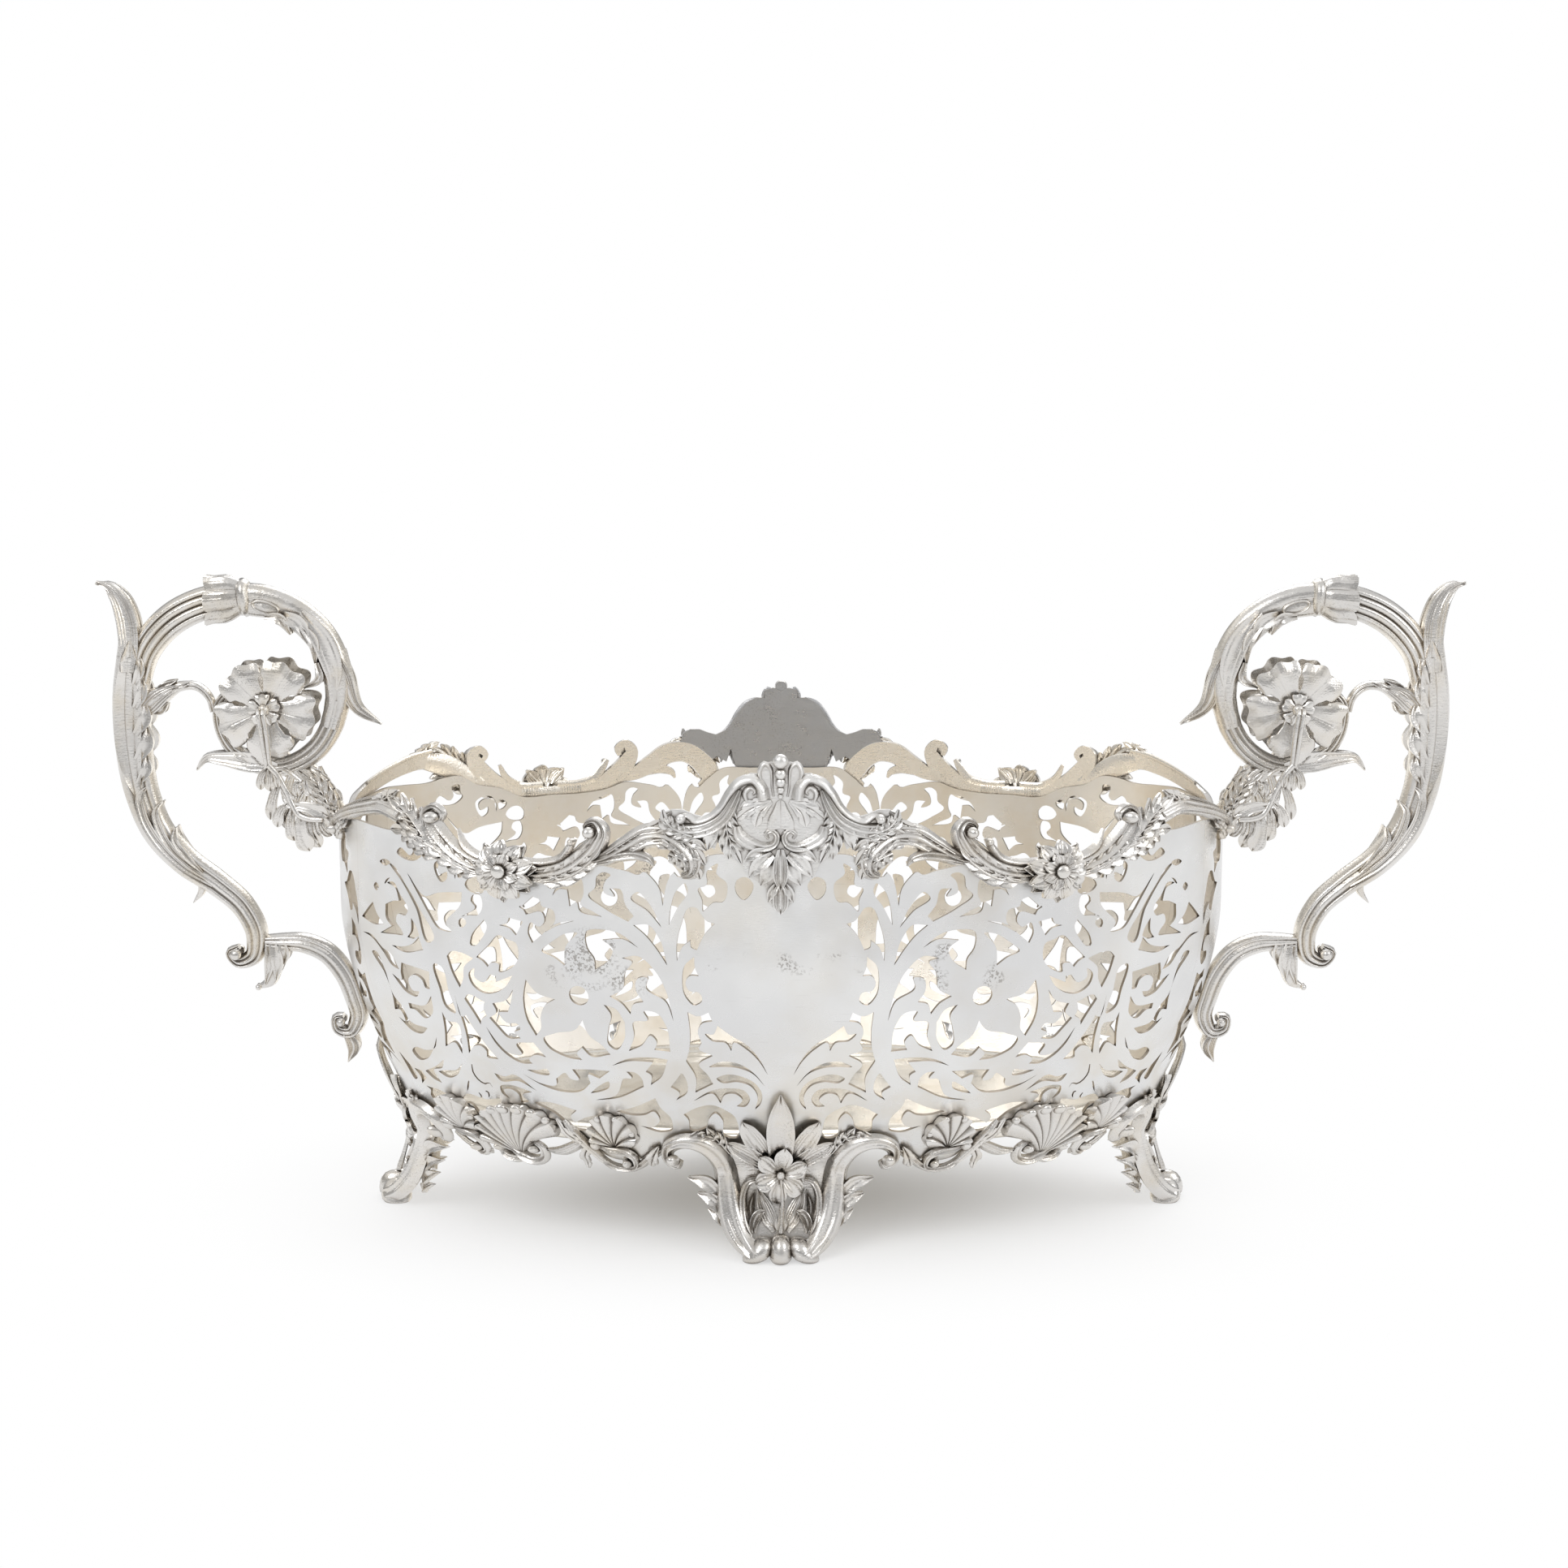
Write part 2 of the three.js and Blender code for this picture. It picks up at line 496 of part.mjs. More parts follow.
// A cast bar in the plane of the handles along [x, z, half width], grown all round by extra.
function bar(path, depth, extra = 0, sides = 6, level = 0) {
  const rings = path.map(([x, z, half, share = 1], i) => {
    const before = path[Math.max(i - 1, 0)];
    const after = path[Math.min(i + 1, path.length - 1)];
    const along = new THREE.Vector2(after[0] - before[0], after[1] - before[1]).normalize();
    return Array.from({ length: sides }, (_, k) => {
      const angle = (k / sides) * 2 * Math.PI;
      const across = (half + extra) * Math.cos(angle);
      return new THREE.Vector3(
        x + handleShift - along.y * across,
        level + (depth * share + extra) * Math.sin(angle),
        heightOf(z) + handleLift + along.x * across,
      );
    });
  });
  return solidOf(loft(rings));
}

const stemPath = [
  [230.8, 109.4, 1.4, 0.6], [235, 108, 2.2, 0.8], [231, 103, 2.9, 0.9], [224, 105.8, 3.8], [222.6, 115, 4.8],
  [227.8, 127, 5], [238.4, 137, 5.1], [252, 146.2, 5.6], [263, 158.8, 6.8, 1.1], [269.4, 175, 8, 1.2],
  [271.4, 198, 8.7, 1.25], [271.2, 218, 8.3, 1.2], [268.8, 234, 6.8, 1.1],
];
const ringPath = [
  [269.6, 226, 6.4], [264.4, 238.4, 6.4], [254, 249.2, 6.7], [241, 255.8, 6.9], [228, 258.2, 6.9],
  [214.6, 257.2, 6.9], [201.6, 251.4, 6.8], [192.2, 242, 7.2], [187.4, 230, 7.8], [186.2, 217, 5],
  [189.9, 204.2, 4], [197, 193.4, 4], [207.4, 187, 4], [219.3, 187.2, 4], [228.4, 193.8, 3.8], [235, 204.6, 3.5],
  [233.4, 215.4, 3.2], [225, 219, 3.4], [215, 213.4, 4],
].map(([x, z, half]) => [x, z, half * ringGirth]);
const flowerHub = ringPath[ringPath.length - 1];

function handleScroll() {
  const leaf = (path) => bar(path, handleDepth, 0, 4);
  return joined([
    bar(stemPath, handleDepth),
    bar(ringPath, handleDepth),
    leaf([[270, 234, 6.4], [272.4, 252, 5], [277, 263, 2.8, 0.6], [284.4, 265.6, 0.8, 0.3]]),
    leaf([[245, 141, 3.4, 0.6], [248.8, 128.8, 0.4, 0.2]]),
    leaf([[188, 228, 6], [181.4, 213.6, 3.6, 0.8], [167.4, 206, 0.6, 0.3]]),
    leaf([[218, 186, 3.6, 0.8], [235, 192, 3, 0.7], [243.6, 191.2, 1.8, 0.5], [245.6, 185.6, 0.5, 0.3]]),
    leaf([[265, 218, 3.8, 0.5], [255, 222.8, 2.8, 0.5], [243, 221.6, 2.4, 0.5], [236.6, 210, 2.2, 0.5]]),
  ]);
}

// The bud that clasps the top of the ring
function handleCollar() {
  const outer = bar([[237.4, 257.2, 8.8], [234, 257.6, 10.4], [225, 258.8, 9.4], [220.6, 258.4, 8.2]],
    handleDepth * 1.45);
  return outer.subtract(bar(ringPath.slice(2, 7), handleDepth, seat));
}

// The C scroll between the foot of a handle and the wall
function handleBracket(envelope) {
  const made = joined([
    bar([[217.2, 113.4, 2.8], [206, 114, 4.2], [195, 110.3, 4.4], [186, 102.6, 4.4], [180.6, 92, 4.4],
      [180, 79.4, 4.2], [185, 72, 3.4], [191.4, 74.6, 2.4], [188.4, 80.4, 1.4]], handleDepth * 0.85),
    bar([[214, 113, 3.6], [216, 101.6, 3.8], [222.6, 91.6, 1, 0.4]], handleDepth * 0.85, 0, 4),
    bar([[184, 74, 3, 0.8], [182.6, 66, 3, 0.8], [184.6, 59, 0.8, 0.4]], handleDepth * 0.8, 0, 4),
  ]);
  return made.subtract(envelope).subtract(bar(stemPath, handleDepth, seat));
}

// A flower on the side of a handle: ruffled petals round a deep throat, facing the front for side -1.
function handleFlower(side) {
  const petals = 5;
  const around = petals * 3;
  const start = handleDepth + seat;
  const ring = (reach, ruffle, out) =>
    Array.from({ length: around }, (_, i) => {
      const angle = (i / around) * 2 * Math.PI;
      const wave = i % 3 === 0 ? 1 - ruffle : 1;
      const r = bigPetal * reach * wave;
      return new THREE.Vector3(
        flowerHub[0] + handleShift + r * Math.sin(angle),
        side * (start + out),
        heightOf(flowerHub[1]) + handleLift + r * Math.cos(angle),
      );
    });
  return solidOf(loft([
    ring(0.24, 0, 0), ring(0.96, 0.26, bigFlowerDepth * 0.5), ring(1, 0.24, bigFlowerDepth * 0.66),
    ring(0.3, 0, bigFlowerDepth * 0.36), ring(0.16, 0, bigFlowerDepth),
  ]));
}

// A garland of small bells and leaves from a flower of the handle to the rim, in front for side -1.
function garland(side) {
  const front = handleDepth + seat + bigFlowerDepth + seat;
  const bead = [
    [214.6, front, 213, 1.7], [213.4, front + 3, 208, 1.7], [212.8, front + 3, 190, 1.5], [212, front + 3, 181.6, 4.4],
    [209.6, front + 3, 174.6, 3], [207, front + 3, 165, 6.8], [199.6, front + 4, 160.4, 6.6],
    [194.4, front + 5, 164.6, 3.6], [190.6, front + 5.6, 168.8, 2.2],
  ].map(([x, y, z, r]) => [new THREE.Vector3(x + handleShift, side * y, heightOf(z) + handleLift), r]);
  const sides = 5;
  const rings = bead.map(([centre, r], i) => {
    const before = bead[Math.max(i - 1, 0)][0];
    const after = bead[Math.min(i + 1, bead.length - 1)][0];
    const along = after.clone().sub(before).normalize();
    if (i === 0) along.set(0, side, 0);
    const across = new THREE.Vector3(1, 0, 0.4).cross(along).normalize();
    const up = along.clone().cross(across).normalize();
    return Array.from({ length: sides }, (_, k) => {
      const angle = (k / sides) * 2 * Math.PI;
      return centre.clone().addScaledVector(across, r * Math.cos(angle)).addScaledVector(up, r * Math.sin(angle));
    });
  });
  return solidOf(loft(rings));
}

// The tongue of the rim's end that carries the ring of a handle
function rimSaddle() {
  const end = drawnQuarter;
  const bandAround = strip([[end - 15, 164, 2.2, 0.7], [end - 7, 166.4, 3.6], [end, 166.6, 3.8], [end + 7, 166.4, 3.6],
    [end + 15, 164, 2.2, 0.7]], rounded, relief * 0.8, seat * 2);
  const tongue = bar([[188.6, 164, 2.4], [191.4, 175, 2.6], [197, 183.4, 3.2], [203.4, 188, 3.6]], handleDepth * 0.8);
  return joined([bandAround, tongue])
    .subtract(bar(ringPath.slice(9, 15), handleDepth, seat));
}

// A solid that fills the bowl out to a little past the wall: pieces are seated against it.
function bowlEnvelope() {
  const sides = 40;
  const levels = [38, 46, 56, 66, 78, 92, 108, 130, 170];
  return solidOf(loft(levels.map((h) =>
    Array.from({ length: sides }, (_, i) => {
      const turn = (i / sides) * 2 * Math.PI;
      const z = heightOf(h);
      const inset = insetAt(z) - seat * 1.5;
      return new THREE.Vector3(Math.sin(turn) * (halfLength - inset), -Math.cos(turn) * (halfDepth - inset), z);
    }),
  )));
}

// The assembly

const bowl = new THREE.Group();
bowl.name = "centrepiece_bowl";

function addPiece(name, solid, material, mirrorX = 1, mirrorY = 1) {
  const geometry = geometryOf(solid);
  const position = geometry.getAttribute("position");
  for (let i = 0; i < position.count; i++) {
    position.setXYZ(i, position.getX(i) * mirrorX, position.getY(i) * mirrorY, position.getZ(i));
  }
  if (mirrorX * mirrorY < 0) geometry.index.array.reverse();
  geometry.computeVertexNormals();
  const mesh = new THREE.Mesh(geometry, material);
  mesh.name = name;
  bowl.add(mesh);
}

const halfSeat = seat / 2;
const frontPanel = piercedPanel(-panelEnd + halfSeat, panelEnd - halfSeat);
const endPanel = piercedPanel(panelEnd + halfSeat, 2 * drawnQuarter - panelEnd - halfSeat);
addPiece("wall_front", frontPanel, silver);
addPiece("wall_back", frontPanel, silver, 1, -1);
addPiece("wall_right_end", endPanel, silver);
addPiece("wall_left_end", endPanel, silver, -1, 1);
addPiece("floor_plate", floorPlate(), warm);

const sideCartouche = cartouche();
addPiece("cartouche_front", sideCartouche, satin);
addPiece("cartouche_back", sideCartouche, satin, 1, -1);

const quarters = [["front_left", -1, 1], ["front_right", 1, 1], ["back_left", -1, -1], ["back_right", 1, -1]];
const quarterPieces = [
  ["rim_scroll", rimQuarter(), satin],
  ["rim_flower", rosette(106.5, 161.5, petalRadius, 8, relief, seat + relief + seat), silver],
  ["base_moulding", baseQuarter(), satin],
  ["base_end_moulding", baseQuarterEnd(), satin],
  ["shell_by_front", smallShell(78), silver],
  ["fan_shell", fanShell(), silver],
  ["shell_by_end", smallShell(160), silver],
];
for (const [place, mirrorX, mirrorY] of quarters) {
  for (const [name, solid, material] of quarterPieces) {
    addPiece(`${name}_${place}`, solid, material, mirrorX, mirrorY);
  }
}

const frontFoot = foot(0);
const endFoot = foot(drawnQuarter);
const frontSpray = footSpray(0);
const endSpray = footSpray(drawnQuarter);
addPiece("foot_front", frontFoot, satin);
addPiece("foot_back", frontFoot, satin, 1, -1);
addPiece("foot_right", endFoot, satin);
addPiece("foot_left", endFoot, satin, -1, 1);
addPiece("foot_spray_front", frontSpray, silver);
addPiece("foot_spray_back", frontSpray, silver, 1, -1);
addPiece("foot_spray_right", endSpray, silver);
addPiece("foot_spray_left", endSpray, silver, -1, 1);

const envelope = bowlEnvelope();
const handlePieces = [
  ["handle_scroll", handleScroll(), satin],
  ["handle_collar", handleCollar(), silver],
  ["handle_bracket", handleBracket(envelope), satin],
  ["rim_saddle", rimSaddle(), silver],
  ["handle_flower_front", handleFlower(-1), silver],
  ["handle_flower_back", handleFlower(1), silver],
  ["garland_front", garland(-1), silver],
  ["garland_back", garland(1), silver],
];
for (const [place, mirrorX] of [["left", -1], ["right", 1]]) {
  for (const [name, solid, material] of handlePieces) addPiece(`${name}_${place}`, solid, material, mirrorX);
}

export default bowl;
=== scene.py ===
# %% [markdown]
# # A pierced silver centrepiece bowl
# The real bowl is an oval basket cut from thin silver sheet. Cast scrolls, leaves, shells and flowers are
# soldered round its rim and foot, it stands on four scroll feet, and two tall scroll handles rise from its ends.
# This lesson dresses the plain solids of the CAD model: it loads them, models every piece again in full detail
# in the same place, and gives each one the silver finish it has.

# %% Load the CAD model as the frame
import math

import bpy
import mathutils
import numpy as np
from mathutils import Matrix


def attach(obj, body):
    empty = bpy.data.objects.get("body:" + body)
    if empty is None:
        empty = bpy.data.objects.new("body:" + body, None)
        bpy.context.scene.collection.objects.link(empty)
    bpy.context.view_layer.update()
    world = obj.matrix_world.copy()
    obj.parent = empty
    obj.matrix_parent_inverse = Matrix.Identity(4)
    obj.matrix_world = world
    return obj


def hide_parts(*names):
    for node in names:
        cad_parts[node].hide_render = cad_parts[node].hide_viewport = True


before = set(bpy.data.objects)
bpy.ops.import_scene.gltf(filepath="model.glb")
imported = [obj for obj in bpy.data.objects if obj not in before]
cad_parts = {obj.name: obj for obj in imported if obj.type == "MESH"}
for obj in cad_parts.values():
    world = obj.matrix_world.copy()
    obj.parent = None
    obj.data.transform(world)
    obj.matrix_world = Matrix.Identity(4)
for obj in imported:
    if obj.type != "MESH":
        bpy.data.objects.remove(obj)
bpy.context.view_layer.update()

# %% [markdown]
# The ornament is drawn flat, on a sheet that is wrapped round the bowl: u runs round the wall from the middle
# of the front, h is the height over the table and w stands out from the wall, all in millimetres. One quarter of
# the oval is 230 long. Every scroll and every opening can then be drawn as on paper, and the wrap bends it.

# %% The wrap from the flat drawing to the bulging wall
HALF_LENGTH, HALF_DEPTH, QUARTER = 186.0, 101.0, 230.0
WALL_FOOT, BELLY, DRAW, DRAW_POWER = 34.0, 96.0, 33.0, 1.62
turns = np.linspace(0, math.pi / 2, 2001)
steps = np.hypot(np.diff(HALF_LENGTH * np.sin(turns)), np.diff(HALF_DEPTH * np.cos(turns)))
arc = np.concatenate([[0], np.cumsum(steps)])


def on_wall(u, h, w):
    """Points on the wall, in millimetres, for places on the flat drawing."""
    u, h, w = np.broadcast_arrays(np.asarray(u, float), np.asarray(h, float), np.asarray(w, float))
    past = np.abs(u) > QUARTER
    along = np.where(past, 2 * QUARTER - np.abs(u), np.abs(u)) / QUARTER * arc[-1]
    turn = np.interp(along, arc, turns)
    inset = DRAW * np.clip((BELLY + WALL_FOOT - h) / BELLY, 0, 1) ** DRAW_POWER
    x = np.where(u < 0, -1, 1) * np.sin(turn) * (HALF_LENGTH - inset + w)
    y = np.where(past, 1, -1) * np.cos(turn) * (HALF_DEPTH - inset + w)
    return np.stack([x, y, h], -1)


print("a quarter of the oval is", round(arc[-1], 1), "mm")

# %% [markdown]
# Most of the cast work is some grid of points laid on a surface: a scroll is a grid rolled into a bar, a leaf is
# a grid with a notched edge. A grid primitive is added, its vertices are moved to their places, the seam is
# welded and the ends are closed. A piece such as the rim is many of these, joined into one object.

# %% Grids laid on a surface
MM = 0.001
parts_made = []


def nothing_selected():
    if bpy.context.object and bpy.context.object.mode != "OBJECT":
        bpy.ops.object.mode_set(mode="OBJECT")
    bpy.ops.object.select_all(action="DESELECT")


def skin(points, pressed=False):
    """Lays a grid on rings of points and closes it into one body, its ends pressed flat like a leaf's or filled."""
    if pressed:
        ends = (points + points[:, ::-1]) / 2
        points = np.concatenate([ends[:1], points, ends[-1:]])
    points = np.concatenate([points, points[:, :1]], axis=1)
    rows, columns = points.shape[:2]
    nothing_selected()
    bpy.ops.mesh.primitive_grid_add(x_subdivisions=columns - 1, y_subdivisions=rows - 1, size=1)
    made = bpy.context.object
    made.data.vertices.foreach_set("co", (points * MM).astype(np.float32).ravel())
    bpy.ops.object.mode_set(mode="EDIT")
    bpy.ops.mesh.select_all(action="SELECT")
    bpy.ops.mesh.remove_doubles(threshold=2e-6)
    bpy.ops.mesh.fill_holes(sides=0)
    bpy.ops.mesh.normals_make_consistent(inside=False)
    bpy.ops.object.mode_set(mode="OBJECT")
    parts_made.append(made)


def sheet_skin(place, a, b, up, thick):
    """A thin cast sheet: its face stands up off the surface and its back lies this much lower."""
    skin(np.concatenate([place(a, b, up), place(a[:, ::-1], b[:, ::-1], up[:, ::-1] - thick)], axis=1), True)


def through(knots, count, dims=2):
    """A smooth line through knots, as this many rows evenly spaced along it."""
    knots = np.array(knots, float)
    gaps = np.linalg.norm(np.diff(knots[:, :dims], axis=0), axis=1)[:, None]
    slopes = np.diff(knots, axis=0) / gaps
    middle = (slopes[:-1] * gaps[1:] + slopes[1:] * gaps[:-1]) / (gaps[:-1] + gaps[1:])
    lean = np.concatenate([slopes[:1], middle, slopes[-1:]])
    at = np.concatenate([[0], np.cumsum(gaps[:, 0])])
    places = np.linspace(0, at[-1], count)
    i = np.clip(np.searchsorted(at, places, side="right") - 1, 0, len(gaps) - 1)
    t = ((places - at[i]) / gaps[i, 0])[:, None]
    g = gaps[i]
    a, b = knots[i], knots[i + 1]
    return ((2 * t**3 - 3 * t**2 + 1) * a + (t**3 - 2 * t**2 + t) * g * lean[i]
            + (3 * t**2 - 2 * t**3) * b + (t**3 - t**2) * g * lean[i + 1])


def across_of(line):
    """The direction across a line of points, a quarter turn to the left of its course."""
    course = np.gradient(line[:, :2], axis=0)
    course /= np.linalg.norm(course, axis=1)[:, None] + 1e-9
    return np.stack([-course[:, 1], course[:, 0]], -1)


def span(knots):
    """The length of a drawn line, from knot to knot."""
    return np.linalg.norm(np.diff(np.array([knot[:2] for knot in knots], float), axis=0), axis=1).sum()


def spine(knots, fourth, step=1.0, least=8, rows=None):
    """A line of rows through knots of [a, b, half width, a fourth value], and the direction across it."""
    rows = rows or max(least, int(span(knots) / step))
    line = through([(*knot, fourth)[:4] for knot in knots], rows)
    return line, across_of(line)


def beside(line, across, out):
    """The places this far to the side of each point of a line."""
    return [line[:, k:k + 1] + across[:, k:k + 1] * out for k in (0, 1)]


print("helpers ready")

# %% [markdown]
# A cast scroll is a strip with rounded ridges along it, highest in the middle and flat behind. Its width follows
# the drawing, and its end winds up into a little bulb. Pearls and bulbs are low domes.

# %% Scrolls and pearls
def scroll(place, knots, ridges=2, rise=4.6, lift=0.3, step=1.1, groove=0.34):
    """A strip along knots of [a, b, half width, lift], with ridges along its face."""
    line, across = spine(knots, lift, step, least=6)
    t = np.linspace(-1, 1, 6 * ridges + 3)
    dome = np.sqrt(1 - 0.97 * t**2)
    face = dome * (1 - groove * (0.5 + 0.5 * np.cos(np.pi * ridges * (t + 1))) * (np.abs(t) < 0.99))
    half = np.maximum(line[:, 2:3], 0.12)
    high = rise * np.minimum(1, half / (rise * 0.62)) * face
    a, b = beside(line, across, half * t)
    front = place(a, b, line[:, 3:4] + high)
    back = place(a[:, ::-1], b[:, ::-1], line[:, 3:4] + 0 * a)
    skin(np.concatenate([front, back[:, 1:-1][:, ::6]], axis=1))


def pearl(place, knots, rise=None, lift=0.3):
    """Low domes at [a, b, radius], such as a pearl or the bulb at the heart of a scroll."""
    turn = np.linspace(0, 2 * math.pi, 18, endpoint=False)
    lean = np.linspace(-0.5, math.pi / 2, 9)[:, None]
    for a, b, radius in knots:
        r = radius * np.cos(lean)
        high = lift + (rise or radius) * (np.sin(lean) + 0.48)
        skin(place(a + r * np.cos(turn), b + r * np.sin(turn), high))


print("scroll and pearl ready")

# %% [markdown]
# An acanthus leaf has a hollow midrib, and its edge is cut into lobes that sweep towards the tip. Each lobe is
# crowned and has a vein of its own. The grid is drawn along the leaf's spine, and its edge moves in and out.

# %% Leaves
def leaf(place, knots, lobes=4, crown=2.2, lift=0.5, notch=0.45, sweep=2.2, vein=0.8):
    """An acanthus leaf along a spine of [a, b, half width, lift]."""
    line, across = spine(knots, lift, 0.8, least=max(8, lobes * 7))
    s = np.linspace(0, 1, len(line))[:, None]
    t = np.linspace(-1, 1, 15)[None, :]
    edge = np.abs(t)
    wave = np.abs(np.sin(np.pi * lobes * s)) ** 0.7 if lobes else np.ones_like(s)
    half = np.maximum(line[:, 2:3], 0.05) * (1 - notch * (1 - wave) * edge**1.5)
    ahead = sweep * edge**2 * np.minimum(1, line[:, 2:3] / 3) * (0.4 + 0.6 * wave)
    a, b = beside(line, across, half * t)
    a, b = a + across[:, 1:2] * ahead, b - across[:, 0:1] * ahead
    body = crown * np.minimum(1, line[:, 2:3] / 3.2)
    ribs = 0.5 + 0.5 * (np.cos(2 * np.pi * (lobes * (s - 0.12 * edge) + 0.5)) if lobes else np.cos(9 * t))
    up = body * (0.35 + 0.65 * np.sqrt(1 - 0.85 * edge**2)) - body * 0.5 * np.exp(-(t / 0.13) ** 2)
    up = up + vein * np.minimum(1, line[:, 2:3] / 3) * ribs * edge
    sheet_skin(place, a, b, line[:, 3:4] + up, 0.9)


def blade(place, knots, crown=1.2, lift=0.5, sheet=0.8, veins=7, rows=22, columns=15):
    """A plain pointed leaf or petal with fine veins."""
    line, across = spine(knots, lift, rows=rows)
    t = np.linspace(-1, 1, columns)[None, :]
    s = np.linspace(0, 1, rows)[:, None]
    half = np.maximum(line[:, 2:3], 0.05)
    up = crown * (0.3 + 0.7 * t**2) * np.minimum(1, half / 2.5)
    up = up + 0.22 * np.cos(veins * np.pi * t) * np.sin(np.pi * s) - 0.5 * np.exp(-(t / 0.12) ** 2)
    sheet_skin(place, *beside(line, across, half * t), line[:, 3:4] + up, sheet)


def lobed(place, drawn, lift=0.6, crown=1.5, sheet=1.0, droop=0.6):
    """Lobes of acanthus, each [root a, b, middle a, b, tip a, b, half width]."""
    for a0, b0, a1, b1, a2, b2, half in drawn:
        blade(place, [(a0, b0, half * 0.5, lift), (a1, b1, half, lift + 0.5), (a2, b2, 0.3, lift - droop)],
              crown=crown, sheet=sheet, veins=3, rows=13, columns=9)


def acanthus(place, knots, count=5, lift=0.8, crown=1.5, sheet=1.0, sides=2):
    """An acanthus leaf: lobes that part from a midrib on one or both sides, and one at the tip."""
    line, across = spine(knots, lift, rows=61)
    wide = max(1.0, 0.46 * span(knots) * 0.74 / count)

    def at(share, out):
        i = int(round(60 * min(share, 1)))
        return list(line[i, :2] + across[i] * line[i, 2] * out)

    for k in range(count):
        share = 0.02 + 0.7 * k / count
        for side in (1, -1)[:sides]:
            lobe = at(share, 0.1 * side) + at(share + 0.13, 0.62 * side) + at(share + 0.27, 1.12 * side)
            lobed(place, [lobe + [wide]], lift=line[int(60 * share), 3], crown=crown, sheet=sheet)
    tip = [(*line[i, :2], half, line[i, 3] + 0.3) for i, half in ((40, wide * 0.6), (50, wide), (60, 0.3))]
    blade(place, tip, crown=crown, sheet=sheet, rows=13, columns=9)
    rib = [(*line[i, :2], 0.75 * (1 - i / 80), line[i, 3] + 0.5) for i in range(0, 60, 12)]
    scroll(place, rib, ridges=1, rise=1.2, step=1.8)


def rosette(place, a0, b0, count, turn, rows, **settings):
    """Petals round a middle, each a blade with its widths given as [reach, half width, height] rows."""
    for lean in turn + 2 * math.pi * np.arange(count) / count:
        knots = [(a0 + r * math.sin(lean), b0 + r * math.cos(lean), half, w) for r, half, w in rows]
        blade(place, knots, **({"crown": 1.3, "sheet": 1.4, "veins": 5} | settings))


def scallop(place, a0, b0, edge, ribs, rise, frill):
    """A shell: ribs that rise from its foot and fan out to an edge given as [angle from upright, reach]."""
    lift, flare = 0.3, 0.3
    angles, reach = np.array(edge, float).T
    lean = np.radians(np.linspace(angles[0], angles[-1], ribs * 8 + 1))[None, :]
    far = np.interp(np.degrees(lean[0]), angles, reach)[None, :]
    ridge = np.abs(np.sin(np.pi * ribs * np.linspace(0, 1, lean.size)))[None, :] ** 1.1
    r = np.linspace(0.06, 1, 20)[:, None]
    out = r * far * (0.92 + 0.08 * ridge)
    lean = lean * (1 - flare * (1 - r))
    up = lift + rise * (0.30 + 0.7 * np.sin(np.pi * (0.1 + 0.62 * r))) * (0.66 + 0.34 * ridge) * (0.5 + 0.5 * r**0.4)
    up = up + frill * r**6 * (2 * ridge - 1)
    a, b = a0 + out * np.sin(lean), b0 + out * np.cos(lean)
    skin(np.concatenate([place(a, b, up), place(a[:, ::-1], b[:, ::-1], lift + 0 * a)], axis=1), True)


print("leaves, rosettes and shells ready")

# %% [markdown]
# A piece such as the rim is dozens of these shapes, so it is written down as a drawing: the name of a shape, its
# knots as numbers parted by commas, then its settings, and a semicolon. A note in a drawing starts with a hash.
# One function reads a drawing and makes its shapes on a surface, such as the wall seen from some middle.

# %% Reading a drawing
SHAPES = {"scroll": scroll, "pearl": pearl, "leaf": leaf, "blade": blade, "lobed": lobed, "acanthus": acanthus}


def knots_of(words):
    return [[float(number) for number in word.split(",")] for word in words]


def draw(place, drawing):
    """Makes the shapes of a drawing."""
    for shape in drawing.strip("; \n").split(";"):
        name, *words = shape.split()
        if name == "#":
            continue
        settings = dict(word.split("=") for word in words if "=" in word)
        for key, value in settings.items():
            settings[key] = int(value) if value.isdigit() else float(value)
        SHAPES[name](place, knots_of(word for word in words if "=" not in word), **settings)


def sided(middle, side=1):
    """The wall as seen from a middle u, to the right of it or mirrored to its left."""
    return lambda a, b, w: on_wall(middle + side * np.asarray(a), b, w)


print("drawings can hold", ", ".join(SHAPES))

# %% [markdown]
# What stands in one quarter of the bowl is modelled once and mirrored into the others. A mirrored mesh would be
# inside out, so its faces are turned back. Each finished object replaces the CAD node of the same place, rides
# on the bowl's one body, and is shaded smooth where its faces meet gently.

# %% Finishing a piece
finished = []
QUARTERS = {"front_right": (1, 1), "front_left": (-1, 1), "back_right": (1, -1), "back_left": (-1, -1)}
FRONT_BACK = {"front": (1, 1), "back": (1, -1)}
RIGHT_LEFT = {"right": (1, 1), "left": (-1, 1)}


def joined(name):
    """Joins the parts made since the last call into one object with this name."""
    nothing_selected()
    for part in parts_made:
        part.select_set(True)
    bpy.context.view_layer.objects.active = parts_made[0]
    if len(parts_made) > 1:
        bpy.ops.object.join()
    made = bpy.context.object
    parts_made.clear()
    made.name = made.data.name = name
    bpy.ops.object.transform_apply(location=True, rotation=True, scale=True)
    bpy.ops.object.shade_smooth_by_angle(angle=math.radians(50))
    return made


def finish_piece(made, node, slot, *materials):
    """Puts a piece in the place of its CAD node, with these materials or else with its own."""
    if materials:
        made.data.materials.clear()
    for material in materials:
        made.data.materials.append(material)
    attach(made, "root")
    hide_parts(node)
    finished.append(made)


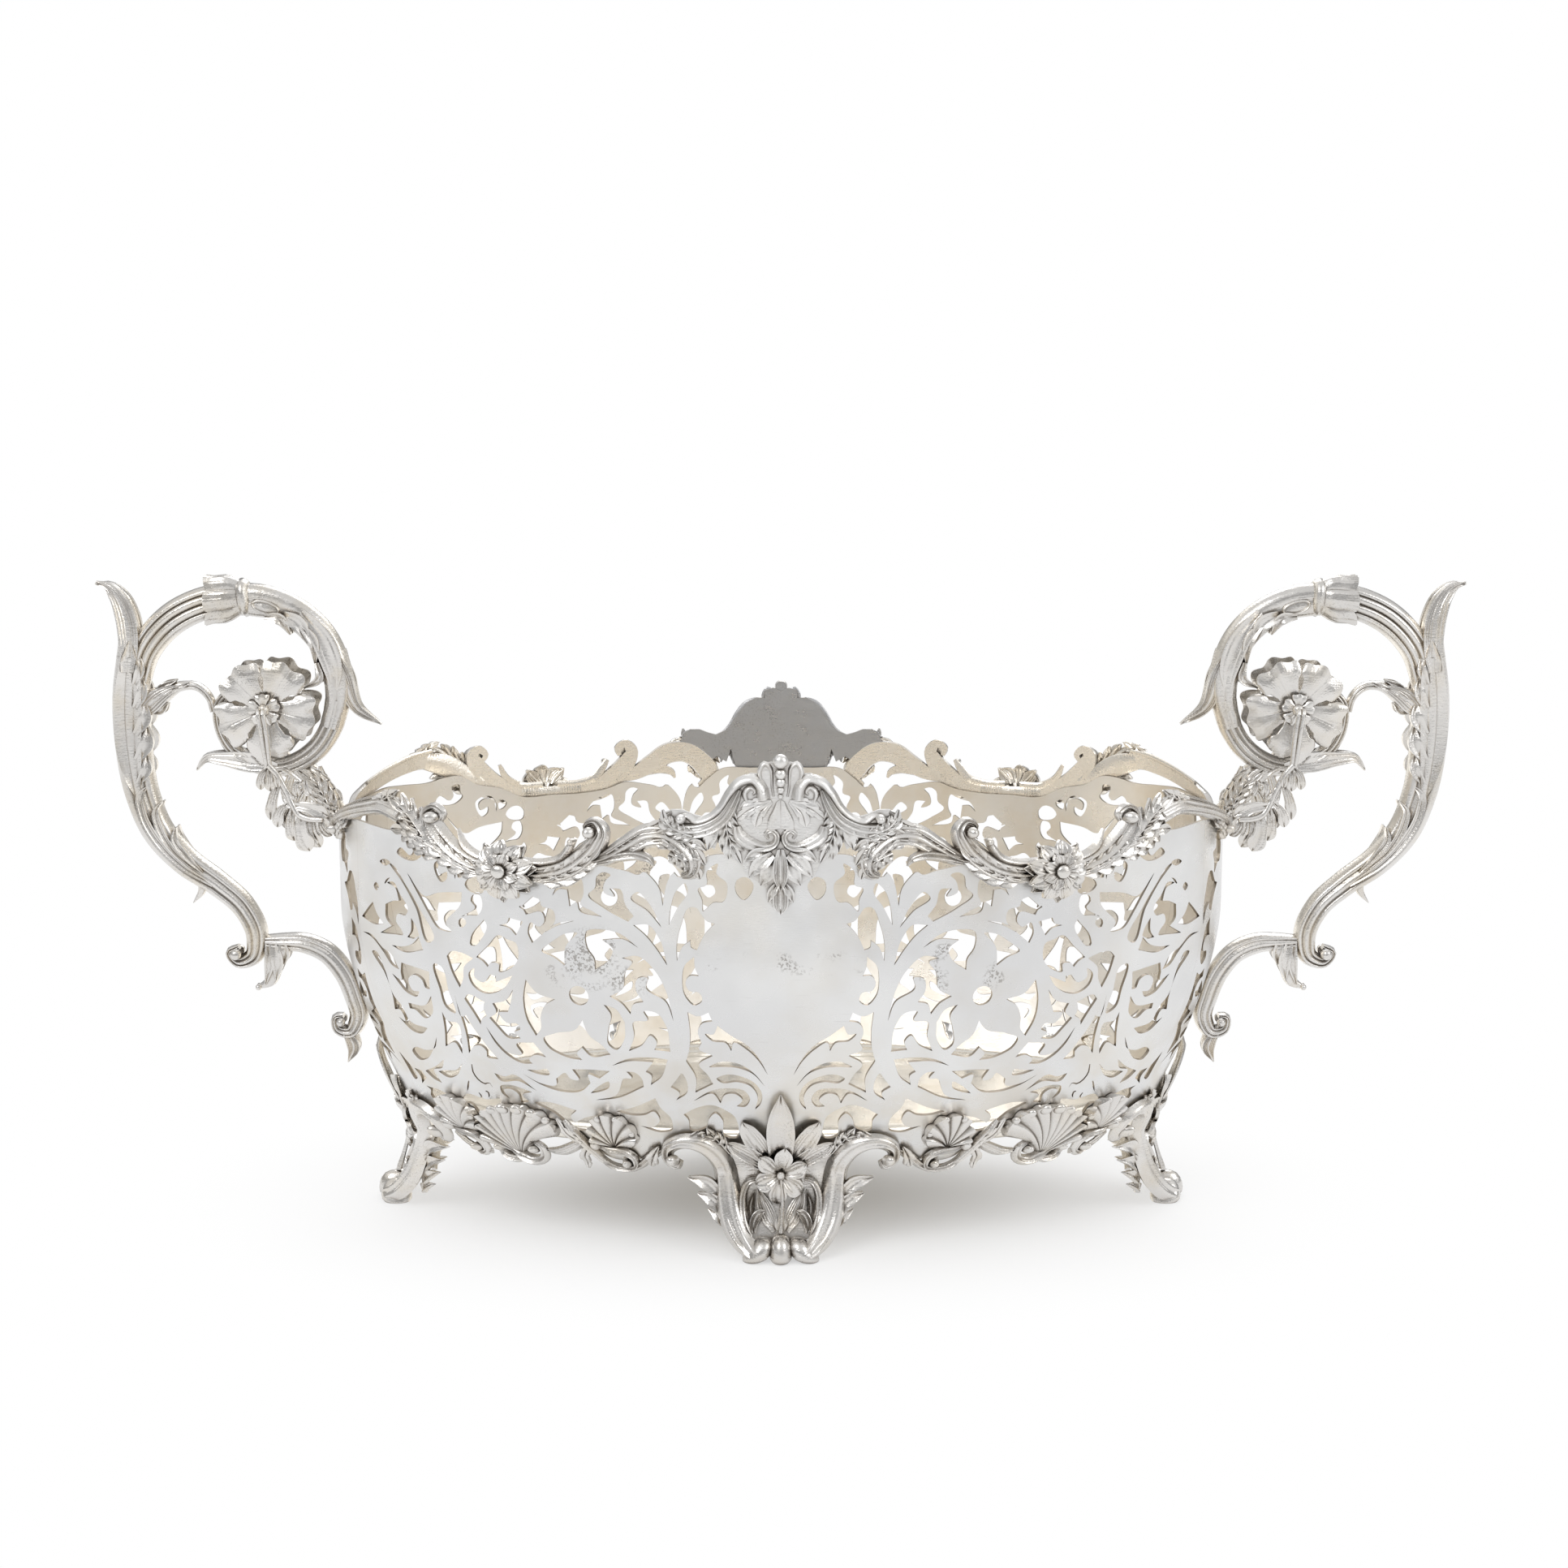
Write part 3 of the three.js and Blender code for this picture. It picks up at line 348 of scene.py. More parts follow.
def mirrored(made, name, x, y):
    """A copy of a piece, mirrored across the bowl's middle, with its own mesh."""
    mesh = made.data.copy()
    twin = bpy.data.objects.new(name, mesh)
    mesh.name = name
    bpy.context.collection.objects.link(twin)
    spots = np.empty(len(mesh.vertices) * 3, np.float32)
    mesh.vertices.foreach_get("co", spots)
    mesh.vertices.foreach_set("co", (spots.reshape(-1, 3) * (x, y, 1)).astype(np.float32).ravel())
    if x * y < 0:
        mesh.flip_normals()
    mesh.update()
    return twin


def into_places(made, stem, places, slot, *materials):
    """Finishes a piece and its mirror images, one for each place."""
    for place, mirror in places.items():
        node = f"{stem}_{place}"
        piece = made if mirror == (1, 1) else mirrored(made, "silver_" + node, *mirror)
        finish_piece(piece, node, slot, *materials)
    print(stem, "in", len(places), "places,", len(made.data.polygons), "faces each")


def cast(stem, places, material=None):
    """Joins the parts made since the last call into a cast piece, and finishes it in all its places."""
    made = joined(f"silver_{stem}_{next(iter(places))}")
    into_places(made, stem, places, "cast_silver", material or cast_silver)


print("finishing ready")

# %% [markdown]
# Silver that has been handled for a century is bright where it is rubbed and dark where the polish never
# reaches. Each finish starts from a nearly white metal. Ambient occlusion finds the hollows and darkens them,
# noise breaks up the tarnish, and a fine bump gives the surface its tool marks.

# %% Mixing a finish
def plug(tree, socket, value):
    """Links a socket to another one, or sets it to a value."""
    if isinstance(value, bpy.types.NodeSocket):
        tree.links.new(value, socket)
    else:
        socket.default_value = (*value, 1) if socket.type == "RGBA" else value


def add(tree, kind, inputs, **settings):
    """A new node of a kind, with its settings and its inputs."""
    made = tree.nodes.new("ShaderNode" + kind)
    for name, value in settings.items():
        setattr(made, name, value)
    for name, value in inputs.items():
        plug(tree, made.inputs[name], value)
    return made


class Finish:
    """A silver being mixed: each method adds nodes and gives back a socket."""

    def __init__(self, name):
        self.material = bpy.data.materials.new(name)
        self.material.use_nodes = True
        self.tree = self.material.node_tree
        self.shader = self.tree.nodes["Principled BSDF"]
        self.shader.inputs["Metallic"].default_value = 1.0
        self.where = add(self.tree, "TexCoord", {}).outputs["Object"]
        parts = add(self.tree, "SeparateXYZ", {0: self.where})
        self.across = self.maths("ABSOLUTE", parts.outputs["X"], 0)
        self.height = parts.outputs["Z"]

    def maths(self, operation, first, second):
        return add(self.tree, "Math", {0: first, 1: second}, operation=operation).outputs[0]

    def vectors(self, operation, first, second=(0, 0, 0)):
        return add(self.tree, "VectorMath", {0: first, 1: second}, operation=operation).outputs

    def times(self, first, second):
        return self.maths("MULTIPLY", first, second)

    def noise(self, scale, detail, stretch=(1, 1, 1), shape=0.55):
        turned = add(self.tree, "Mapping", {"Vector": self.where, "Scale": stretch}).outputs["Vector"]
        inputs = {"Vector": turned, "Scale": scale, "Detail": detail, "Roughness": shape}
        return add(self.tree, "TexNoise", inputs).outputs["Fac"]

    def ramp(self, source, low, high, first=0.0, last=1.0):
        inputs = {"Value": source, "From Min": low, "From Max": high, "To Min": first, "To Max": last}
        return add(self.tree, "MapRange", inputs, interpolation_type="SMOOTHSTEP").outputs["Result"]

    def near(self, source, middle, half):
        """One at the middle, falling to nothing this far from it, in millimetres."""
        away = self.maths("ABSOLUTE", self.maths("SUBTRACT", source, middle * MM), 0)
        return self.ramp(away, half * 0.45 * MM, half * MM, 1.0, 0.0)

    def mix(self, share, first, second, mode="MIX"):
        inputs = {0: share, 6: first, 7: second}
        return add(self.tree, "Mix", inputs, data_type="RGBA", blend_type=mode).outputs[2]

    def hollows(self, reach_mm, low=0.34, high=0.92, inside=False):
        """One in a hollow of the casting, nothing on its open parts. Looked at from inside, one along an edge."""
        made = add(self.tree, "AmbientOcclusion", {"Distance": reach_mm * MM}, samples=8, inside=inside)
        return self.ramp(made.outputs["AO"], low, high, 1.0, 0.0)

    def inwards(self):
        """One on faces that look into the bowl. The oval is about 3.4 times as steep across as along."""
        outwards = self.vectors("NORMALIZE", self.vectors("MULTIPLY", self.where, (1, 3.4, 0))[0])[0]
        normal = add(self.tree, "NewGeometry", {}).outputs["Normal"]
        facing = self.vectors("DOT_PRODUCT", outwards, normal)["Value"]
        return self.ramp(facing, -0.75, -0.45, 1.0, 0.0)

    def finish(self, colour, rough, bump, marks):
        inputs = {"Strength": bump, "Distance": 0.2 * MM, "Height": marks}
        normal = add(self.tree, "Bump", inputs).outputs["Normal"]
        for name, value in (("Base Color", colour), ("Roughness", rough), ("Normal", normal)):
            plug(self.tree, self.shader.inputs[name], value)
        return self.material

    def patches(self, scale, detail, low, high, stretch=(1, 1, 1), shape=0.55):
        """Patches of noise with soft edges."""
        return self.ramp(self.noise(scale, detail, stretch, shape), low, high)

    def region(self, across, half_across, height, half_height):
        """One in a region on each half of the wall, given in millimetres."""
        return self.times(self.near(self.across, across, half_across), self.near(self.height, height, half_height))

    def shaded(self, colour, scale, low, high, grey):
        """A colour with broad, slightly darker clouds."""
        return self.mix(1.0, colour, self.mix(self.patches(scale, 3, low, high), grey, (1, 1, 1)), "MULTIPLY")


print("ready to mix finishes")

# %% Two recipes and six finishes
SOOT, STRAW, DUST = (0.19, 0.165, 0.14), (0.72, 0.64, 0.51), (0.46, 0.41, 0.36)
EDGE_LINE, PITS, SCRATCH, SHADE = (0.42, 0.36, 0.29), (0.3, 0.28, 0.26), (0.45, 0.43, 0.42), (0.36, 0.31, 0.26)


def cast_finish(name, bright, rough, reach_mm, darkness, straw, bump, inside=None):
    """Cast silver: bright where it stands out, brown black in its hollows."""
    made = Finish(name)
    colour = made.mix(made.times(made.patches(60, 5, 0.44, 0.72), straw), bright, STRAW)
    colour = made.shaded(colour, 16, 0.3, 0.7, (0.86, 0.86, 0.86))
    colour = made.mix(made.times(made.hollows(reach_mm * 2.6, 0.2, 0.9), darkness * 0.45), colour, DUST)
    colour = made.mix(made.times(made.hollows(reach_mm, 0.3, 0.85), darkness), colour, SOOT)
    # Faces that look into the bowl take the inside colour instead: painted light or painted shade for the inside of
    # the bowl.
    if inside:
        colour = made.mix(made.inwards(), colour, inside)
    speckle = made.times(made.patches(1300, 3, 0.56, 0.64, shape=0.7), made.patches(30, 2, 0.5, 0.62))
    colour = made.mix(made.times(speckle, 0.35), colour, SOOT)
    grain = made.ramp(made.noise(150, 6), 0.3, 0.7, rough * 0.75, rough * 1.4)
    return made.finish(colour, grain, bump, made.maths("ADD", made.noise(300, 4, (1, 1, 5)), made.noise(1100, 2)))


def sheet_finish(name, bright, tarnish, share, rough):
    """The wall's sheet, with cloudy tarnish, pitted patches on the petals and scratches on the shield."""
    made = Finish(name)
    colour = made.mix(made.times(made.patches(28, 6, 0.42, 0.74), share), bright, tarnish)
    low = made.times(made.ramp(made.height, 0.052, 0.11, 1.0, 0.0), made.patches(40, 4, 0.4, 0.65))
    colour = made.mix(made.times(low, 0.4), colour, STRAW)
    colour = made.shaded(colour, 12, 0.35, 0.68, (0.9, 0.9, 0.91))
    patch = made.maths("ADD", made.times(made.region(72, 26, 126, 16), made.patches(70, 3, 0.5, 0.6)),
                       made.times(made.region(12, 26, 127, 6), made.patches(90, 3, 0.5, 0.64)))
    colour = made.mix(made.times(made.hollows(0.55, 0.2, 0.7, True), 0.7), colour, EDGE_LINE)
    pits = made.times(patch, made.patches(950, 2, 0.5, 0.58, shape=0.6))
    colour = made.mix(made.times(pits, 0.75), colour, PITS)
    lines = made.times(made.times(made.patches(60, 2, 0.68, 0.72, (1, 1, 22)), 0.4), made.region(6, 34, 108, 42))
    colour = made.mix(made.times(lines, 0.4), colour, SCRATCH)
    colour = made.mix(made.times(made.hollows(2.4, 0.3, 0.8), 0.45), colour, SHADE)
    grain = made.ramp(made.noise(80, 6), 0.3, 0.7, rough * 0.8, rough * 1.3)
    return made.finish(colour, grain, 0.25, made.maths("ADD", made.noise(420, 3, (1, 1, 7)), pits))


sheet_silver = sheet_finish("sheet_silver", (0.79, 0.79, 0.785), (0.72, 0.68, 0.61), 0.42, 0.30)
# The inner face: a warm tan tarnish, made lighter than the outer face as painted light for the light inside the
# bowl.
inner_tarnish_and_painted_light = sheet_finish("inner_tarnish_and_painted_light", (1.0, 0.965, 0.90), (0.93, 0.84, 0.70), 0.95, 0.32)
edge_silver = cast_finish("cut_edge_silver", (0.40, 0.35, 0.29), 0.4, 1.2, 0.5, 0.5, 0.2)
# Cast silver's inside colour is a warm tarnish tint, made lighter than the metal as painted light inside the bowl.
cast_silver = cast_finish("cast_silver", (0.78, 0.76, 0.735), 0.24, 2.5, 0.72, 0.45, 0.5, inside=(1.0, 0.94, 0.84))
# Chased silver's inside colour is dark grey: painted shade on the polished back of the cartouche inside the bowl.
chased_silver = cast_finish("chased_silver", (0.87, 0.86, 0.845), 0.34, 2.0, 0.68, 0.2, 0.7,
                            inside=(0.50, 0.50, 0.505))
plate_silver = cast_finish("plate_silver", (0.88, 0.85, 0.79), 0.2, 3.0, 0.3, 0.5, 0.15)
print("finishes:", [m.name for m in bpy.data.materials])

# %% [markdown]
# The basket's wall is one sheet with about seventy openings to a quarter. The outlines are written as u,h pairs
# in millimetres and parted by semicolons, and a star marks a sharp corner; between the corners the line is smooth.

# %% The outlines of the openings in one quarter
OPENINGS = """
16.8,160.3 13.5,161.6 10.4,158.5 11.6,154.6 14,152.4 17,155;
24,166.6 28.4,163.5 28.6,158 31.8,156.8 30.2,152 30,147.8 25.5,151.5 22.7,151.4 20.7,159 24.8,163;
36.8,158.7 35.8,156.4 39.8,149 43.3,142* 42.4,149.5 40,156;
34.4,149.4 38.6,141.8 40.3,134 40.2,127.8* 38,133.6 34.9,136.2* 34.6,133.2 32.4,132.4* 29.5,138.5 25.4,143*
  28.6,144 30.4,146.2 32.7,149.2;
33.5,129.6* 37,126.5 38.4,120 37.4,113 34,109.5 30.8,111.8 32,115 35.8,115.6 37.2,119 35.4,121.9 31.9,121.9*
  33.2,125.2;
37,106.6* 33,104.9 28.6,106.7* 27.3,102.9* 31.6,101.8 33.4,98.5 32.2,93.3* 33.6,91 28,87.7* 34.1,83.4 30.8,79
  28.8,74.8* 36.8,70.6* 35.8,77 39.3,85* 37.3,91 36.6,98;
25.3,101* 20,96.8 13.5,92.5 8.5,86 5.4,79.4* 9.5,86.2 14,90.8 19.2,93.7 20.2,90* 22,93.3 28,94.4 30.6,97.5
  27.5,97;
29.8,82.6 25,85.1 17,84.1 10.8,79.6 6.8,74.2* 12,80 18,82.4 25,82.8;
27.2,77.2 24,79 16,78.3 10.2,74.6 8,69.8 9,65.4 11.2,63.2* 10,69.4 12.8,74 18,75.9 25.6,75.7;
38,66.7* 30,71.6 22,73 15.2,71.6 13.3,68 15.8,64.3 19.3,64.6* 16.6,67.4 19.5,70.3 24.4,69.6 26.3,65.8*
  28.8,70;
43.5,60* 37,63.4 29.6,64.8 25.2,63 20.6,59.5 20.6,49 26,50 26.2,58 29,61 32,58.5 34,54 41.5,52.6 41.6,57.5;
41.8,79.4 40.1,76 40.4,70.6 45.7,66.7* 43.7,70 47.3,72.8* 43.8,77;
58.1,152.6 55.8,154.7 51,150.3 46.2,141* 51.5,147.2;
57.3,141.5* 51.5,141.9 47,136.4 44.1,125.9* 48,132 53,138;
71.5,160.5 72.5,155.5 75.2,153 69,147.8 59.3,142.8* 57.1,145.1* 60.4,149.5 62.3,155.5 66.6,155.6* 64.6,152.6
  68.9,154 68,159 66,161 69,162;
90,151.6* 88.4,154.8 78,158.8 77.4,151.8 78.6,149.4 73,146 69.8,144.2* 79.2,146.8 79.8,149.6 82.9,147.7*
  83.8,154.2* 87,154.4;
76.2,138 69,139.2 63,138 55.4,132.6* 61,135.6 69.7,135.1* 65.5,131.4 67.2,127.2 73,122.8* 73.2,127 76.1,131.5;
94.8,129 90,133.4 84.5,136.8 80,137.4 84.6,132 85.5,123.8* 90,127;
84.9,111.5 83.7,114.4 80.8,115.6 77.9,114.4 76.7,111.5 77.9,108.6 80.8,107.4 83.7,108.6;
62,128.2* 56,129.3 49,123.5 45,115 42.9,102.6* 45.3,110.5 53,116.6 52,120.6 56.2,120 57.2,115.5 54.4,110.3*
  58.8,109 60.2,104.8* 63.5,109.3 68,112* 62.4,115.5 60.9,122.5 57.9,126.9;
59.5,101.4 53.3,102.6 54.8,106.2 49.5,105.8 46.2,100.5 45.5,89* 52.1,89.6* 50.6,93 52.8,95.9 57,91.4
  62.9,88.5* 59.8,95.5;
70.9,108.3* 66,106.6 63,101* 64,94 68.8,88.7 71,90.4 70.2,98 68.4,104;
71.4,81.4* 65,84.6 53,86 47,85.4* 51,77 55.9,73.4* 55,78 57.2,79.4* 53.3,84* 64,83.8;
84.2,83.1* 86.1,85.6 83.1,88.8* 80.3,85.3 71.2,86.4* 73.8,90 79,94.5 80.8,101* 84,97 94,94.2 99.7,91.2 98,87.4
  94.5,85.2 89.5,83.5;
113.9,73.9* 106,69.5 97,67.4 88,68.6 83,72.6* 83.2,76.6 78.4,75* 73,78.8* 82,78.9 89.9,78.4* 87.8,73.6
  92.4,74.4 93,76.2 98.6,73.4* 99,70.8 106,70.3;
84.1,67.8* 79.5,71.4 74.2,73.6 74.6,71.6 79,69;
82.6,64.7* 72,66.4 59.2,72.3* 59.3,75.8 62,78.8 65.6,79* 63.6,76 67.5,75.7 69.4,72.2 71.5,68.6;
74.2,60* 65,62.6 55,67.2* 53.5,62.8 49.6,58 49.8,52.3 55,50.8 64.5,53.5* 58.5,53.2 54.8,56.8 56.6,60.8 61,59
  68,58.5;
113,138* 109.3,139.4 108.6,141.4* 102.6,140.3* 105.7,134.5* 108.6,137.2;
98.3,150.6* 102.6,146.8* 100.9,143.3* 94.4,144.6 93.4,141 95.8,138.6 99.2,140.3 100.6,136.2 98.8,132* 93.2,137
  88.9,142 89.6,145.6 94.8,147.4 95.4,149.6;
123.9,124* 118.5,129 112.8,134 109.6,132.6 106,131.6 105.3,124.6 109.5,120.3 114.3,118.9 113.8,122 118,122
  119.1,120.3* 121,122.5;
108.4,117.8* 112,113 117.5,109.6 123,108.9 127.8,112 128.6,116.6 125.4,119.2 126.1,115.5 122.3,113.5
  118.4,117.2* 115.9,116.9* 116.4,114.2*;
138.1,122.8* 135.8,125 131.3,125.2 125.4,123.3* 130.4,119 131.6,114 134.1,110* 136.4,115.5;
137.5,106.2* 136.2,97 134.2,98* 132.6,93.4 129.4,87.6 128.2,85.4 126.8,83 124.3,79.6* 129.8,80.2 129,82.6
  131,84.8 134.5,84.4 138.9,80.5* 137.2,88;
133,105.2* 131.2,107.2 123.4,105* 124.6,102 123.9,99* 127,97 127.9,94.7* 130,99.5;
109.1,111.8* 113,107 119.8,104.8* 118.7,101.3 122.8,98.2* 119.8,94.2 116,90.1 110.2,90.5* 112.6,93 109.2,94.8
  110,96.8 115,96.8 117.7,101 113.3,101.8* 111,106.5;
102.8,116.6* 99,111.6 91.2,109.2* 96,106.2 98.8,101 99.6,96 102.7,92.4* 105.2,99 105.2,108;
125.6,94* 121.5,86.6 118.6,83.5 111.5,83.4 113.2,87.2 104.8,89.2* 100.6,83* 105.5,83.6 109,80.6 107.8,79.4*
  113,79.1 118.5,81.7 122.8,86.5;
111.4,76.2* 106,74.7 101,75.3 101.3,77.2 106,76.7;
129,72.7* 124,71.8 119.5,73.2 110.2,66.7* 117,70.2 127.9,70.2;
126,61.3* 129,63.4 128.6,66.6 124,67.9 112.8,65.8* 118.4,63.6 116,60.9* 120.5,60* 120.2,64 123,66 127.4,65;
113,60.8 107,61.7 93.4,58.9* 97.6,55 96.4,52.7* 90,55.8 83.6,57.3* 89,50 97,49.5 105.5,56.8;
157.2,154.6* 147,146.2 142.6,147.9 129.7,149.8* 130.2,145.4 137.4,135.6 135,133.5 141,133.6 146.8,140
  149.8,144.2;
131.6,136.8 130.6,135.3 127.9,137.4 128.7,139.3 131.2,138.6;
130,139.9* 123.7,144.7 125.6,146.5 125,148.8 121.6,149.5 120.3,145 122.3,141.3 126.5,140.8;
126.3,128.7 126,131.5 119.8,139.6* 118.8,138.4 121.8,130.8 124,128.6;
128.3,152.8 126.8,155.4 122.5,156.6 119.4,154 119.8,150.7 126.6,150.9;
136.5,157.2 136.8,154.4 139.3,152.8 142.2,156 142.8,160 139.5,162 134.6,161.6 132.4,158 132.7,154.7*
  134.2,159.6 138,161 141,159 140.4,156;
131.4,160 127.6,158.4 127.9,157.2 131.2,155.4;
167.2,157.4 160.2,150.6 153,141 146,127.4 144.6,128.2 150.8,140.6 158.8,150.4 164.6,156.4;
173.4,157.2 169.8,155.8 166.8,157.6 170,158.6;
169,149 165.2,149.8 161.5,145.2 157.2,139.5 158.5,137 163.4,136.8 164.3,134 161,130.4 160.2,129 165,128.2
  174.4,127.4* 166.8,131.4* 170.2,134 170.4,139.9* 165.3,142 162.2,142.4* 164.2,147.6;
178,146.4 176.2,148.2 174.4,146.4 176.2,144.6;
187.6,132* 182,137 179,139.5* 176.5,135.3 171.8,131.5* 177,130.4;
155.6,136.3* 152.4,132.2 151.4,129.5* 154.6,127.8* 158,128.1* 156,130.4;
167.8,123.2* 161,121.4 149.9,123.8* 151.8,128.9* 155.5,125.6 161,123.7;
165.7,113.2* 169.5,114.2 174.5,119.8 181,124.4 187.6,125.6* 181,125.6 173,120.6 170,119.9;
163.6,116.5* 157,115.8 148.6,114.8* 150.2,107.1* 152.4,107.3 153.2,110.4 157,112.3 161.6,109.4 160.6,105.2
  156.6,105.2* 158.4,102.8 163.5,103.2 171.1,110.6* 165.5,108.8 165.2,112.2*;
182,118.5 179.4,118.8 175.8,112.5 173.7,100 170,96.2 168.8,91 158.2,88.8* 163,85.7 168.5,85.8 175.4,90.9*
  171.6,89.6 172.4,94.6 176.4,94.1* 174.9,100 176.2,110;
150.4,104.2* 154.6,99.8 165.4,98.8* 165.4,96.4* 162.2,96.4 158,93.4 152.2,96.4;
144.7,118.9 142.2,118.4 140.2,108 139.9,98 143.4,99.8 144.7,108;
146.6,97.8* 145.4,94.4 139.9,93.8 140.8,85 142.8,79.8* 144.4,84.4 151,81.9* 148.2,89.5;
175.4,75.4 173.6,72.8 167,73.6 160,78.8 154.5,85.5* 157.8,80.4 165,78 171.5,78.2;
171.9,67.4* 162,71.4 155.4,75.3* 158.4,71.2 165.5,68.6 163.7,63.2* 168.8,64.6;
162.4,68.8* 158,66.8 150.6,69.1 145.1,74.8* 150,71.4 157.6,70;
180.4,67.1* 175.2,66.8* 173.8,63.8* 180,60.2* 178.2,63.6;
188,73* 182.4,67.6* 181.8,62.4 185,61.2 186.6,67;
156.7,54.5 150.5,60.2 140,59.2 131,60.1 134.5,55.8 148,50.4 150.4,55.6;
177.5,59.6 175.2,58.4 177.8,55 173.4,50.8 164.5,53.4 160.5,56.2 168,59.2 175,59.4;
162.8,162.4 160.4,164.6 157.8,163.2 155.5,161.8 153.6,163.5 154.5,168 150.6,168.6 150,165 148.8,163.5
  152,160.4 158,160
"""

# Saw cuts with no width to speak of: the line that the saw took
SLITS = """
139.7,75.4 140.6,71 138.5,67.6 135.6,66.9 134,67.9 132.9,65.6;
138,63.2 136.8,63 136.9,61.5 137.8,60.3;
142.4,62 141.8,60.8 142.8,57.8;
145.3,67 147.2,64.3 149.2,61.6;
93.3,137 88,140.2 81.3,142;
170.6,148.4 168.5,150.5 167.2,151.3;
104,146.3 102,145.3 101.1,143
"""

# %% [markdown]
# Each outline is read and smoothed between its corners. The saw cuts get a width that swells in the middle. The
# openings of the shield stand round the shield on the end too, a little nearer to its middle.

# %% Reading the outlines
END_SHIFT = 1.2


def read_outline(line):
    """The points of a written outline, and which of them are corners."""
    words = line.split()
    return np.array(knots_of(word.strip("*") for word in words)), [word.endswith("*") for word in words]


def rounded_outline(line, step=1.3):
    """A written outline as a closed smooth line with its corners kept."""
    spots, corners = read_outline(line)
    count = len(spots)
    if not any(corners):
        ring = np.concatenate([spots[-2:], spots, spots[:2]])
        fine = through(ring, (count + 4) * 10)
        at = np.concatenate([[0], np.cumsum(np.linalg.norm(np.diff(ring, axis=0), axis=1))])
        keep = np.linspace(at[2], at[count + 2], max(8, int((at[count + 2] - at[2]) / step)), endpoint=False)
        along = np.linspace(0, at[-1], len(fine))
        return np.stack([np.interp(keep, along, fine[:, k]) for k in (0, 1)], -1)
    first = corners.index(True)
    order = [(first + k) % count for k in range(count + 1)]
    pieces, run = [], [order[0]]
    for k in order[1:]:
        run.append(k)
        if corners[k]:
            pieces.append(through(spots[run], max(2, int(span(spots[run]) / step) + 1))[:-1])
            run = [k]
    return np.concatenate(pieces)


OPENINGS, SLITS = OPENINGS.split(";"), SLITS.split(";")
openings = [rounded_outline(line) for line in OPENINGS]
for line in SLITS:
    course = through(read_outline(line)[0], 10)
    width = across_of(course) * 0.42 * np.sin(np.linspace(0.5, math.pi - 0.05, 10))[:, None]
    openings.append(np.concatenate([course + width, (course - width)[::-1]]))
for k in (1, 3, 4, 5, 6, 7, 8, 9):
    openings.append((rounded_outline(OPENINGS[k]) * (-1, 1) + (QUARTER + (END_SHIFT if k < 6 else 0), 0))[::-1])
print(len(openings), "openings in a quarter,", sum(map(len, openings)), "points")

# %% [markdown]
# The real sheet was sawn flat and then bent. Here triangles are laid flat between the outlines and a grid of
# points, those in a hole are left out, and the rest is wrapped round the wall. The Solidify modifier thickens it.

# %% Sheets cut, bent and thickened
WALL_TOP = """0,170 14,170 28,169.4 34,165 39.5,161 41,162.8 43.3,160 44.8,155 45.6,149.5* 47,156.5 50,160.5
53,162.8 55,161.5 59,162.6 64,163.6 72,164.6 80,162 92,160.4 106,160.4 120,160.4 130,165 142,168 150,172.4
158,172.4 166,171 178,171.4 190,171.8 204,169.4 217,167 230,166.4"""
WALL_FOOT_LINE = """0,40 22,40 30,44 41,48 50,46.5 58,41 68,37 82,36 92,41 100,46 112,46 122,41 133,36.5
148,38 162,38 172,41 180,46.5 190,48 200,45 208,41 219,40 230,40"""


def edge_line(text):
    """An open line from left to right, smooth between its corners."""
    spots, corners = read_outline(text)
    corner = [0] + [k for k, sharp in enumerate(corners) if sharp] + [len(spots) - 1]
    runs = []
    for a, b in zip(corner, corner[1:]):
        if b > a:
            runs.append(through(spots[a:b + 1], max(3, int((spots[b, 0] - spots[a, 0]) / 1.5)))[:-1])
    return np.concatenate(runs + [spots[-1:]])


top_line, foot_line = edge_line(WALL_TOP), edge_line(WALL_FOOT_LINE)


def within(spots, line):
    """Which of the spots lie within a closed line: the way out of it passes an odd number of sides."""
    here = np.zeros(len(spots), bool)
    near = ((spots > line.min(axis=0)) & (spots < line.max(axis=0))).all(axis=1)
    x, y = spots[near, 0, None], spots[near, 1, None]
    (x0, y0), (x1, y1) = line.T, np.roll(line, -1, axis=0).T
    passed = ((y0 > y) != (y1 > y)) & (x < x0 + (x1 - x0) * (y - y0) / np.where(y1 == y0, 1, y1 - y0))
    here[near] = passed.sum(axis=1) % 2 == 1
    return here


def divided(line, step):
    """A closed line whose long sides are divided, so that it can bend with the wall."""
    parts = []
    for a, b in zip(line, np.roll(line, -1, axis=0)):
        count = max(1, math.ceil(np.linalg.norm(b - a) / step))
        parts.append(a + (b - a) * np.arange(count)[:, None] / count)
    return np.concatenate(parts)


